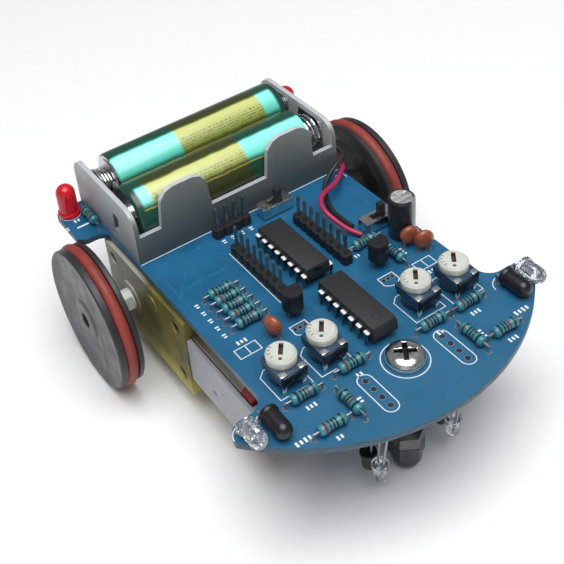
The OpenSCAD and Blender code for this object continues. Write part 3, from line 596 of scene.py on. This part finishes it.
CARRIED = {
    "deck": "board", "solder_joints": "tin", "component_leads": "wire", "battery_box": "box",
    "battery_plates": "spring", "header_pins": "gold", "switch_frames": "plated",
    "power_lever": "black_plastic", "mode_lever": "black_plastic", "capacitor_can": "can",
    "transistors": "to92", "hex_nuts": "nut_steel", "cap_nut": "dark_steel",
    "foam_tapes": "foam", "gearbox_outer_shells": "gearbox", "gearbox_inner_shells": "gearbox",
    "gearbox_screws": "dark_steel", "motor_cans": "motor_steel", "motor_caps": "motor_cap",
    "motor_straps": "strap", "motor_leads": "red_pvc",
}
for side in ("left", "right"):
    CARRIED[side + "_rotor"] = "rotor"
    CARRIED[side + "_tyre"] = "tyre"
    for gear in ("crown_gear", "idler_gear", "reduction_gear", "output_gear"):
        CARRIED[side + "_" + gear] = "acetal"

# Width of the small rounding on the edges of moulded or pressed nodes, in millimetres.
ROUNDED = {
    "deck": 0.12, "battery_box": 0.35, "switch_frames": 0.12, "power_lever": 0.12,
    "mode_lever": 0.12, "transistors": 0.18, "hex_nuts": 0.25, "cap_nut": 0.25,
    "gearbox_outer_shells": 0.3, "gearbox_inner_shells": 0.3, "motor_straps": 0.25,
    "motor_caps": 0.3, "motor_cans": 0.3,
}

KNOBS = ["trimmer_far_right", "trimmer_right", "trimmer_left", "trimmer_far_left"]
for knob in KNOBS:
    MAT[knob] = knob_material(knob)
    CARRIED[knob] = knob
    ROUNDED[knob] = 0.1


def dress(node, material, rounding):
    """Gives a carried node its material and, where it is moulded, softly rounded edges."""
    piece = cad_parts[node]
    piece.data.materials.clear()
    piece.data.materials.append(material)
    if not rounding:
        return
    weld = piece.modifiers.new("weld", "WELD")
    weld.merge_threshold = 1e-6
    bevel = piece.modifiers.new("rounding", "BEVEL")
    bevel.width = rounding * MM
    bevel.segments = 2
    bevel.limit_method = "ANGLE"
    bevel.angle_limit = math.radians(40)
    bevel.harden_normals = True


for name, key in CARRIED.items():
    dress(name, MAT[key], ROUNDED.get(name))

# ---------- sites on the deck ----------

CHIPS = {node: span(solids(node)[0]) for node in ("ic1", "ic2")}
TRIMMERS = [tuple((centre(knob) - ORIGIN) / MM)[:2] for knob in KNOBS]
RESISTORS = [(*middle_of(points).xy, abs(round(heading(points))))
             for points in solids("resistors")]
DISCS = [(*middle_of(points).xy, heading(points)) for points in solids("ceramic_capacitors")]
# The rows of open pads on each side of the skid screw.
PADS_X, PADS_Y = [-0.3 + i * PITCH for i in range(4)], 10
# The lamps lie at these distances to each side.
HORN_LAMPS_Y = (31.1, 36.2)
TAIL_LAMP_X, TAIL_LAMP_Y = -88, 33.5
TRANSISTORS_X, TRANSISTORS_Y = -20.4, (-11.4, 12.6)


def row(count, x, y, step=PITCH):
    return [(x + (k - (count - 1) / 2) * step, y) for k in range(count)]


def column(count, x, y, step=PITCH):
    return [(x, y + (k - (count - 1) / 2) * step) for k in range(count)]


def ends(x, y, angle, reach):
    dx, dy = polar(reach, math.radians(angle))
    return [(x + s * dx, y + s * dy) for s in (-1, 1)]


# ---------- printing on the deck ----------

# Heights of the copper, the solder pads and the white print above the deck, in millimetres.
TRACE_Z, PAD_Z, PRINT_Z = 0.012, 0.02, 0.03
# Lifts a flat ring clear of the layer it lies on.
LIFT = 0.001
# Width of the printed lines, in millimetres.
LINE = 0.22


def stroke(bm, points, width=LINE, z=PRINT_Z, closed=False):
    """A flat line of width millimetres through (x, y) board points."""
    n = len(points)
    left, right = [], []
    for i in range(n):
        before = Vector(points[(i - 1) % n] if closed or i else points[i])
        here = Vector(points[i])
        after = Vector(points[(i + 1) % n] if closed or i < n - 1 else points[i])
        sides = []
        for a, b in ((before, here), (here, after)):
            if (b - a).length > 1e-9:
                along = (b - a).normalized()
                sides.append(Vector((-along.y, along.x)))
        mean = sum(sides, Vector((0, 0))).normalized()
        reach = width / 2 / max(0.4, mean.dot(sides[0]))
        left.append(bm.verts.new(at(*(here + mean * reach), z)))
        right.append(bm.verts.new(at(*(here - mean * reach), z)))
    for i in range(n if closed else n - 1):
        j = (i + 1) % n
        bm.faces.new([right[i], right[j], left[j], left[i]])


def disc_ring(bm, x, y, inner, outer, z, material=0):
    """A flat ring on the deck."""
    rings = [[bm.verts.new(at(x + dx, y + dy, z)) for dx, dy in circle(r, 24)]
             for r in (outer, inner)]
    skin(bm, rings, material)


def arc(x, y, r, start, stop, steps=12):
    """Points round a centre x, y from start to stop degrees."""
    turns = [math.radians(start + (stop - start) * k / steps) for k in range(steps + 1)]
    return [(x + r * math.cos(turn), y + r * math.sin(turn)) for turn in turns]


def mark(bm, x, y, angle, count, size=1.25):
    """A generic mark: a row of small solid bars standing where a designator would be."""
    turn = Matrix.Rotation(math.radians(angle), 2)
    for k in range(count):
        middle = (k - (count - 1) / 2) * size * 0.72
        reach = size * (0.36 if k % 2 else 0.44)
        ends_at = [turn @ Vector((middle, s * reach)) + Vector((x, y)) for s in (-1, 1)]
        stroke(bm, ends_at, size * 0.38)


def print_outlines(bm):
    for x, y in TRIMMERS:
        stroke(bm, [(x + 4.9, y - 4), (x + 4.9, y + 4), (x - 2.4, y + 4), (x - 3.8, y + 2.4),
                    (x - 3.8, y - 2.4), (x - 2.4, y - 4)], closed=True)
    for s in (-1, 1):
        nose_end = arc(PADS_X[-1], s * PADS_Y, 1.7, -90, 90)
        tail_end = arc(PADS_X[0], s * PADS_Y, 1.7, 90, 270)
        stroke(bm, nose_end + tail_end, closed=True)
        for x, y in zip((-3.2, -3.4), HORN_LAMPS_Y):
            stroke(bm, arc(x, s * y, 3, 95, 265))
        stroke(bm, arc(TAIL_LAMP_X, s * TAIL_LAMP_Y, 2.8, 0, 360, 28))
    stroke(bm, arc(0, 0, 5.05, 0, 360, 40))
    for x0, x1, y0, y1 in ((-23.2, -20.4, -26.5, -21.2), (-20.6, -17.8, 19.6, 24.5)):
        stroke(bm, [(x0, y0), (x1, y0), (x1, y1), (x0, y1)], closed=True)
        stroke(bm, [(x0, (y0 + y1) / 2), (x1, (y0 + y1) / 2)])
    for y in TRANSISTORS_Y:
        stroke(bm, [(-21.6, y - 2), *arc(TRANSISTORS_X, y, 2.4, -60, 60), (-21.6, y + 2)],
               closed=True)
    stroke(bm, [(-49.7, -10.4), (-29, -10.4)])
    stroke(bm, [(-59.2, -28.8), (-59.2, 28.8)])
    stroke(bm, [(-57.3, 28.6), (-55.4, 28.6)])
    stroke(bm, [(-57.3, 28.6), (-57.3, 26.4)])
    for s in (-1, 1):
        stroke(bm, [(-81.5, s * 31.4), (-81.5, s * 34.6)], 0.6)


def print_marks(bm):
    for k, (x, y, angle) in enumerate(RESISTORS):
        if y < -18 and x < -20:
            mark(bm, x, y - 6.4, 0, 2, 1.1)
        elif angle == 90:
            mark(bm, x + 2.4, y, 90, 2 + k % 2)
        else:
            mark(bm, x, y + 2.4, 0, 2 + k % 2)
    for x, y in TRIMMERS:
        mark(bm, x - 0.6, y + (5.6 if y < 0 else 5.4), 0, 3, 1.2)
    for k in range(8):
        mark(bm, -48.3 + k * PITCH, 12.0, 90, 2, 1.1)
    for k in range(4):
        mark(bm, -54.0, -8.9 + k * PITCH, 0, 2, 1.1)
    mark(bm, -24.6, -23.6, 90, 3, 1.3)
    mark(bm, -16.4, 22, 90, 3, 1.3)
    mark(bm, 4.2, -28.6, 90, 4, 1.4)
    mark(bm, 4.2, 27.8, 90, 4, 1.4)
    for s in (-1, 1):
        mark(bm, -84.2, s * 33.4, 90, 2, 1.3)


# Copper runs, each a list of (x, y) board points.
TRACE_RUNS = [
    [(-30.5, -8.9), (-27.6, -11.8), (-27.6, -14.7)], [(-48.3, -8.9), (-52.4, -13), (-52.4, -24)],
    [(-45.8, -8.9), (-50.4, -13.5), (-50.4, -22), (-44, -27)], [(-22, -3.8), (-26, -7.8)],
    [(-7, -3.8), (-2.6, -5.6), (-0.3, -10)], [(-4.1, -17.8), (2.2, -11.6), (2.24, -10)],
    [(7.3, -10), (9.6, -12.3), (9.6, -20), (5.2, -26.5)], [(7.3, 10), (9.8, 12.5), (9.8, 20)],
    [(-3.7, 15), (-3.6, 15.3)], [(4.8, 10), (4.1, 10.6), (-0.4, 14.4)],
    [(-7, 3.8), (-3.7, 6)], [(-12, 3.8), (-12, 7), (-14.5, 9.5)],
    [(-56, -15), (-56, -27), (-30, -27), (-26, -23.6)], [(-58, 20), (-52, 26), (-44, 26)],
    [(-44, 22.5), (-40, 22.5)], [(-46, -24), (-46, -14.6)], [(10.8, -6), (10.8, 6)],
    [(8.6, -15), (1, -27), (-1, -30.5)], [(8.6, 15), (2, 26), (-1, 30)],
]


def print_traces(bm):
    for run in TRACE_RUNS:
        stroke(bm, run, 0.5, TRACE_Z)
        for x, y in (run[0], run[-1]):
            disc_ring(bm, x, y, 0.01, 0.62, TRACE_Z + LIFT)


def deck_pads(bm):
    spots = [p for x, y, a in RESISTORS for p in ends(x, y, a, 4.5)]
    spots += [p for x, y, a in DISCS for p in ends(x, y, a, PITCH / 2)]
    spots += [p for y in TRANSISTORS_Y for p in column(3, TRANSISTORS_X, y, PITCH / 2)]
    for s in (-1, 1):
        for y in HORN_LAMPS_Y:
            spots += column(2, -5.1, s * y)
        spots += row(2, TAIL_LAMP_X, s * TAIL_LAMP_Y)
    for x, y in spots:
        disc_ring(bm, x, y, 0.36, 0.68, PAD_Z)
    for x in PADS_X:
        for s in (-1, 1):
            # Painted shade: a dark disc stands for the shade inside each open pad's hole.
            disc_ring(bm, x, s * PADS_Y, 0.02, 0.62, PAD_Z + LIFT, material=1)
            disc_ring(bm, x, s * PADS_Y, 0.62, 0.8, PAD_Z)


new_piece("deck_traces", print_traces, [MAT["copper"]])
new_piece("deck_print", print_outlines, [MAT["print"]])
new_piece("deck_marks", print_marks, [MAT["print"]])
new_piece("deck_pads", deck_pads, [MAT["pad"], MAT["painted_hole_shade"]])

# ---------- chips and headers ----------


def chip_body(low, high, pairs, notched):
    """A moulded package with drafted sides and legs folded down from its waist."""
    x, length, top = (low.x + high.x) / 2, high.x - low.x, high.z
    waist = top - 1.65

    def make(bm):
        place = Matrix.Translation(at(x, 0))
        block(bm, place, (length, 6.4, 1.6), (0, 0, top - 0.8), 0.16, taper=0.965)
        block(bm, place, (length, 6.4, 1.7), (0, 0, top - 2.4), 0.12)
        if notched:
            lathe(bm, turned(at(x + length / 2 - 0.35, 0, top - 0.04), UP),
                  [(0, 0), (0.95, 0), (1.05, 0.045), (1.0, 0.04)], 28, 2)
        else:
            lathe(bm, turned(at(x + length / 2 - 2.9, 0, top - 0.06), UP),
                  [(0, 0.02), (0.75, 0.03), (0.98, 0.08), (1.04, 0.02)], 28, 2)
        for s in (-1, 1):
            for px, py in row(pairs, x, s * 1.5 * PITCH):
                leg = Matrix.Translation(at(px, 0))
                block(bm, leg, (1.4, 0.9, 0.5), (0, py - s * 0.28, waist - 0.12), 0.2, 1)
                # The legs' upright parts take the dark nut steel: painted shade on the same tinned
                # metal as their white shoulders.
                block(bm, leg, (1.4, 0.26, 1.8), (0, py, waist - 0.95), 0.06, 3)
                block(bm, leg, (0.5, 0.24, 1.6), (0, py, 0.8), 0.05, 3)
    return make


for name, pairs, notched in (("ic1", 8, True), ("ic2", 7, False)):
    new_piece(name + "_package", chip_body(*CHIPS[name], pairs, notched),
              [MAT["epoxy"], MAT["leg"], MAT["recess"], MAT["nut_steel"]], replaces=[name])


def header_bodies(node):
    """Strips of eight-sided cells, one cell for each pin."""
    def make(bm):
        h, c = PITCH / 2 - 0.01, 0.42
        corners = [(-h, c - h), (c - h, -h), (h - c, -h), (h, c - h), (h, h - c), (h - c, h),
                   (c - h, h), (-h, h - c)]
        for lo, hi in map(span, solids(node)):
            x, y = (lo.x + hi.x) / 2, (lo.y + hi.y) / 2
            cells = round(max(hi.x - lo.x, hi.y - lo.y) / PITCH)
            line = row if hi.x - lo.x > hi.y - lo.y else column
            for cx, cy in line(cells, x, y):
                prism(bm, [(cx + a, cy + b) for a, b in corners], lo.z, hi.z)
    return make


for name, node in (("long_headers", "header_strips_8"), ("short_header", "header_strip_4")):
    new_piece(name, header_bodies(node), [MAT["black_plastic"]], replaces=[node])

# ---------- small parts ----------


def resistor_bodies(bm):
    """Lacquered bodies with rounded ends, a narrower middle and five painted bands."""
    for k, (x, y, angle) in enumerate(RESISTORS):
        place = turned(at(x, y, 1.4), (*polar(1, math.radians(angle)), 0))
        bands = [1 + k % 3, 2 - k % 2, 1, 3 - k % 3, 1]
        profile = [(0.3, -3.15, 0), (0.9, -3.1, 0), (1.2, -2.75, 0), (1.25, -2.4, 0)]
        profile += [(1.25, -2.15, bands[0]), (1.22, -1.65, 0), (1.07, -1.35, 0)]
        for i, start in enumerate((-1.0, -0.25, 0.5)):
            profile += [(1.05, start, bands[i + 1]), (1.05, start + 0.4, 0)]
        profile += [(1.07, 1.35, 0), (1.22, 1.65, bands[4]), (1.25, 2.15, 0),
                    (1.25, 2.4, 0), (1.2, 2.75, 0), (0.9, 3.1, 0), (0.3, 3.15, 0)]
        lathe(bm, place, profile, 24)


new_piece("resistor_bodies", resistor_bodies,
          [MAT["resistor"], MAT["band_dark"], MAT["band_brown"], MAT["band_red"]],
          replaces=["resistors"])


def ceramic_bodies(bm):
    for x, y, angle in DISCS:
        place = turned(at(x, y, 3.3), (*polar(1, math.radians(angle + 90)), 0))
        steps = [math.radians(-90 + 15 * k) for k in range(13)]
        lathe(bm, place, [(2.35 * max(0.0, math.cos(a)) ** 0.6, 1.08 * math.sin(a))
                          for a in steps], 32)
        for px, py in ends(x, y, angle, PITCH / 2):
            lathe(bm, turned(at(px, py, 0.5), UP), [(0.26, 0), (0.5, 0.9), (0.75, 1.5)], 14)


new_piece("ceramic_discs", ceramic_bodies, [MAT["ceramic"]], replaces=["ceramic_capacitors"])


def sleeve_body(bm):
    """The sleeve, waisted near its foot and folded over the top edge of the can."""
    middle = centre("capacitor_can")
    place = turned(Vector((middle.x, middle.y, ORIGIN.z)), UP)
    lathe(bm, place, [(2.9, 0.05), (3.12, 0.25), (3.15, 0.9), (3.02, 1.3), (2.98, 1.5),
                      (3.02, 1.7), (3.15, 2.1), (3.15, 10.5), (3.05, 10.9), (2.85, 11.12),
                      (2.6, 11.15), (2.5, 11.02)], 56)


new_piece("capacitor_wrap", sleeve_body, [MAT["sleeve"]], replaces=["capacitor_sleeve"])


def trimmer_frames(bm):
    """Under each knob a navy base with a metal front and two bright solder tabs."""
    for x, y in TRIMMERS:
        place = Matrix.Translation(at(x, y))
        block(bm, place, (7.4, 6.6, 1.5), (0.75, 0, 4.4), 0.2)
        block(bm, place, (7.0, 6.2, 1.4), (0.75, 0, 3.2), 0.15)
        lathe(bm, turned(at(x, y, 0.3), UP),
              [(0, 0), (2.9, 0), (3.0, 0.2), (3.0, 2.6), (0, 2.6)], 36)
        block(bm, place, (0.25, 5.6, 2.2), (4.42, 0, 3.7), 0.08, 2)
        for s in (-1, 1):
            block(bm, place, (0.5, 1.7, 3.0), (4.2, 2.3 * s, 3.65), 0.12, 2)
            block(bm, place, (1.3, 1.6, 0.16), (3.7, 2.3 * s, 5.14), 0.05, 1)
            block(bm, place, (0.4, 1.0, 2.3), (4.0, 2.4 * s, 1.15), 0.1, 1)
        block(bm, place, (0.6, 1.9, 2.5), (-2.5, 0, 1.3), 0.1, 1)


new_piece("trimmer_frames", trimmer_frames,
          [MAT["navy_plastic"], MAT["tin"], MAT["dark_steel"]],
          replaces=["trimmer_bases"])

# ---------- lamps ----------


def lamp_profile(d, length, lip):
    r = d / 2
    dome = [(r * math.cos(math.radians(a)), length - r + r * math.sin(math.radians(a)))
            for a in range(0, 90, 10)]
    return [(0, 0), (r + lip - 0.1, 0), (r + lip, 0.12), (r + lip, 0.85), (r + lip - 0.1, 1.0),
            (r, 1.05), *dome, (0, length)]


def lamps(name, node, direction, diameter, lip, material, see_through):
    """The lamps of a node, pointing along direction, with their lead frames if see_through."""
    aim = Vector(direction)
    spots, length = [], 0
    for points in solids(node):
        lo, hi = span(points)
        length = abs((hi - lo).dot(aim))
        middle = (lo + hi) / 2
        spots.append(at(*(middle - aim * length / 2)))

    def shell(bm):
        for spot in spots:
            lathe(bm, turned(spot, direction), lamp_profile(diameter, length, lip), 40)

    def inside(bm):
        for spot in spots:
            place = turned(spot, direction)
            for s, w in ((-1, 0.9), (1, 0.45)):
                block(bm, place, (w, 0.4, length * 0.45), (s * 0.55, 0, length * 0.32), 0.04)
            lathe(bm, place @ Matrix.Translation(Vector((-0.45, 0, length * 0.5)) * MM),
                  [(0, 0.1), (0.3, 0.1), (0.5, 0.5), (0.55, 0.5), (0.3, 0), (0, 0)], 16)

    new_piece(name, shell, [material], replaces=[node])
    if see_through:
        new_piece(name + "_frames", inside, [MAT["tin"]])


lamps("horn_emitter_lamps", "horn_emitters", FORWARD, 3.9, 0.25, MAT["clear"], True)
lamps("horn_receiver_lamps", "horn_receivers", FORWARD, 3.9, 0.25, MAT["ir_black"], False)
lamps("floor_emitter_lamps", "floor_emitters", DOWN, 3, 0.4, MAT["clear"], True)
lamps("floor_receiver_lamps", "floor_receivers", DOWN, 3, 0.4, MAT["ir_black"], False)
lamps("tail_lamps", "tail_leds", UP, 4.9, 0.4, MAT["red_lamp"], False)

# ---------- battery bay ----------


# Which way along Y each cell's button points.
BUTTONS = {"battery_front": -1, "battery_rear": 1}


def cell_shape(node, plus):
    """A cell along Y with its raised button at the plus end."""
    def make(bm):
        middle, half = centre(node), half_size(node)
        base = middle - Vector((0, plus * half.y, 0))
        r = half.x / MM
        end = 2 * half.y / MM - 1.2
        lathe(bm, turned(base, (0, plus, 0)), [
            (0, 0, 1), (r - 1.5, 0, 1), (r - 1.1, 0.3, 1), (r - 0.9, 0.3, 1), (r - 0.5, 0.25, 0),
            (r - 0.12, 0.5, 0), (r, 0.9, 0), (r, end - 0.8, 0), (r - 0.15, end - 0.35, 0),
            (r - 0.5, end - 0.05, 0), (r - 1.0, end, 2), (r - 1.6, end - 0.15, 1),
            (2.75, end - 0.1, 1), (2.7, end + 1.0, 1), (2.5, end + 1.2, 1), (0, end + 1.2, 1)], 64)
    return make


for node, plus in BUTTONS.items():
    place = node.removeprefix("battery_")
    new_piece(place + "_cell", cell_shape(node, plus),
              [MAT["label_" + place], MAT["cell_steel"], MAT["insulator"]], replaces=[node])


def coil_springs(bm):
    """A conical coil at the flat end of each cell."""
    for node, plus in BUTTONS.items():
        cell, reach = centre(node), half_size(node).y
        start = cell - Vector((0, plus * reach, 0))
        lo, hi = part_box("battery_springs")
        wall = hi[1] if plus < 0 else lo[1]
        gap = abs(wall - start.y)
        place = turned(Vector((cell.x, wall, cell.z)), (0, plus, 0))
        turns, wide, narrowing, margin, count = 3.4, 4.35, 1.5, 0.4 * MM, 68
        points = []
        for k in range(count + 1):
            t = k / count
            radius = (wide - narrowing * t) * MM
            height = margin + (gap - 2 * margin) * t
            points.append(place @ Vector((*polar(radius, math.tau * turns * t), height)))
        tube(bm, points, 0.36, 10)


new_piece("coil_springs", coil_springs, [MAT["spring"]], replaces=["battery_springs"])

FRONT_X, REAR_X = [(centre(node).x - ORIGIN.x) / MM for node in BUTTONS]
RED_PATH = [(REAR_X + 1.2, 29.7, 5.4), (REAR_X + 4.6, 30.2, 3.4), (-72, 30.3, 1.6),
            (-65, 30.7, 1), (-59, 30, 1.2), (-55, 26.4, 2.2), (-51.4, 21.6, 3.4),
            (-49.6, 17.4, 4), (-47, 14.4, 4.4), (-43.6, 13.3, 4), (-40.4, 14, 2.8),
            (-37.6, 15.2, 1.6), (-34.8, 16.9, 0.9)]
BLACK_PATH = [(FRONT_X + 1.2, 29.8, 5.4), (-63.2, 30.7, 4.6), (-59.4, 30.6, 3.9),
              (-57.6, 27.4, 3.5), (-56.4, 24.2, 2.4), (-54.6, 21.4, 1.5), (-51.6, 19.2, 0.9),
              (-48, 17.6, 0.8), (-44.4, 17, 0.75), (-41.4, 17, 0.75), (-38.6, 17.2, 0.75)]


def lead(name, path, material):
    """A free insulated lead from a battery plate to the deck, along board points."""
    route = smooth_path([at(*point) for point in path], 8)
    piece = new_piece(name + "_wire", lambda bm: tube(bm, route, 0.6), [material],
                      replaces=[name])


lead("lead_red", RED_PATH, MAT["red_pvc"])
lead("lead_black", BLACK_PATH, MAT["black_pvc"])

# ---------- skid screw ----------


def screw_head(bm):
    dome = [(4.2 * math.cos(math.radians(a)) ** 0.55, 0.9 + 1.75 * math.sin(math.radians(a)))
            for a in range(0, 90, 9)]
    lathe(bm, turned(at(0, 0), UP), [(0, 0.0), (4.1, 0.0), (4.2, 0.15), *dome, (0, 2.65)], 56)


def cross_recess(bm):
    """A plus-shaped cutter, turned as the recess is."""
    half_width, reach, turn = 0.5, 2.3, Matrix.Rotation(math.radians(57), 2)
    arm = [(half_width, half_width), (half_width, reach), (-half_width, reach)]
    outline = []
    for k in range(4):
        quarter = turn @ Matrix.Rotation(math.radians(90 * k), 2)
        outline += [quarter @ Vector(p) for p in arm]
    prism(bm, outline, 1.2, 3.4)


def screw_thread(bm):
    """The threaded shank: a grid whose radius follows a 0.7 mm helix."""
    length, pitch, around = 30.0, 0.7, 28
    rows = int(length / pitch * 6)
    rings = []
    for i in range(rows + 1):
        z = -length + length * i / rows
        ring = []
        for k in range(around):
            phase = (z / pitch - k / around) % 1.0
            ridge = 1 - abs(2 * phase - 1)
            radius = 1.62 + 0.38 * min(1.0, ridge * 1.25)
            radius = min(radius, 1.3 + (z + length) * 0.8)
            ring.append(bm.verts.new(at(*polar(radius, math.tau * k / around), z)))
        rings.append(ring)
    skin(bm, rings)
    bm.faces.new(rings[0][::-1])
    bm.faces.new(rings[-1])


head = new_piece("screw_head", screw_head, [MAT["plated"], MAT["recess"]],
                 replaces=["skid_screw"])
cutter = new_piece("recess_cutter", cross_recess, [MAT["recess"]])
cut = head.modifiers.new("cross", "BOOLEAN")
cut.operation = "DIFFERENCE"
cut.object = cutter
cut.material_mode = "TRANSFER"
bpy.context.view_layer.update()
cut_mesh = bpy.data.meshes.new_from_object(
    head.evaluated_get(bpy.context.evaluated_depsgraph_get()))
head.modifiers.clear()
head.data = cut_mesh
bpy.data.objects.remove(cutter)
new_piece("screw_thread", screw_thread, [MAT["plated"]], sharp=70)

# ---------- wheels ----------


WHEEL_WIDTH = 6.2
# Radius of the tyre's round section.
TYRE_SECTION = 1.5


def wheel_shape(side):
    """A grooved wheel with a dished outer face, a hub collar and a shallow inner recess."""
    def make(bm):
        middle, half = centre(side + "_wheel"), half_size(side + "_wheel")
        out = 1 if side == "left" else -1
        axle = centre(side + "_tyre")
        face = abs(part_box(side + "_wheel")[1 if out > 0 else 0][1]) / MM
        boss = abs(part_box(side + "_wheel")[0 if out > 0 else 1][1]) / MM
        rim = half.x / MM
        inner = face - WHEEL_WIDTH
        groove = abs(axle.y) / MM
        tyre_mid = half_size(side + "_tyre").x / MM - TYRE_SECTION
        place = turned(Vector((axle.x, 0, axle.z)), (0, out, 0))
        bed = [(tyre_mid - TYRE_SECTION * math.sin(math.radians(a)),
                groove - TYRE_SECTION * math.cos(math.radians(a))) for a in range(0, 181, 15)]
        lathe(bm, place, [
            (2.75, boss), (4.4, boss), (4.6, boss + 0.2), (4.6, inner + 1.9), (5.0, inner + 2.2),
            (rim - 4.8, inner + 2.2), (rim - 4.3, inner + 1.9), (rim - 4.1, inner + 0.2),
            (rim - 3.9, inner), (rim - 0.35, inner), (rim, inner + 0.3), (rim, groove - 1.6),
            (rim - 0.15, groove - 1.5), *bed, (rim - 0.15, groove + 1.5), (rim, groove + 1.6),
            (rim, face - 0.35), (rim - 0.3, face), (rim - 1.5, face), (rim - 2.0, face - 0.25),
            (5.6, face - 0.45), (5.1, face - 0.1), (4.8, face - 0.02), (2.1, face - 0.02),
            (1.85, face - 0.25), (1.85, face - 2.1), (2.75, face - 2.1), (2.75, boss)], 128)
    return make


for side in ("left", "right"):
    new_piece(side + "_rim", wheel_shape(side), [MAT["wheel"]], body=side + "_wheel_set",
              replaces=[side + "_wheel"])

# ---------- studio ----------

# The camera that fits the photo: its place, its angles in radians, its lens and its shift.
CAMERA_AT = at(118.8, -100.6, 165.9)
AZIMUTH, ELEVATION, ROLL = math.radians(-26.745), math.radians(33.72), -0.143
LENS, SHIFT_X, SHIFT_Y = 68.67, 0.1636, -0.2851


def camera_matrix():
    back = Vector((math.cos(ELEVATION) * math.cos(AZIMUTH),
                   math.cos(ELEVATION) * math.sin(AZIMUTH), math.sin(ELEVATION)))
    right = Vector(UP).cross(back).normalized()
    up = back.cross(right)
    c, s = math.cos(ROLL), math.sin(ROLL)
    right, up = c * right + s * up, c * up - s * right
    turn = Matrix((right, up, back)).transposed().to_4x4()
    return Matrix.Translation(CAMERA_AT) @ turn


def add_camera():
    data = bpy.data.cameras.new("camera")
    data.sensor_width = 36
    data.lens = LENS
    data.shift_x = SHIFT_X
    data.shift_y = SHIFT_Y
    data.clip_start = 0.01
    camera = add("camera", data)
    camera.matrix_world = camera_matrix()
    bpy.context.scene.camera = camera


def add_floor():
    mesh = bpy.data.meshes.new("floor")
    reach = 6.0
    mesh.from_pydata([(-reach, -reach, 0), (reach, -reach, 0), (reach, reach, 0),
                      (-reach, reach, 0)], [], [(0, 1, 2, 3)])
    mesh.materials.append(surface("floor_paper", (0.90, 0.90, 0.905), 0.9, mottle=0.01,
                                  bump=0.02))
    floor = add("floor", mesh)


def add_light(name, place, aim, size, power):
    data = bpy.data.lights.new(name, "AREA")
    data.shape = "DISK"
    data.size = size
    data.energy = power
    lamp = add(name, data)
    lamp.matrix_world = turned(Vector(place), Vector(place) - Vector(aim))


def add_world(color, strength):
    world = bpy.data.worlds.new("world")
    world.use_nodes = True
    background = world.node_tree.nodes["Background"]
    background.inputs["Color"].default_value = (*color, 1)
    background.inputs["Strength"].default_value = strength
    bpy.context.scene.world = world


add_camera()
add_floor()
add_light("overhead", (0.14, -0.06, 0.75), (-0.01, 0, 0.02), 0.75, 7.4)
add_light("front", (0.5, -0.45, 0.22), (0, 0, 0.02), 0.5, 0.25)
add_world((0.95, 0.97, 1.0), 0.22)
bpy.context.scene.view_settings.view_transform = "Standard"
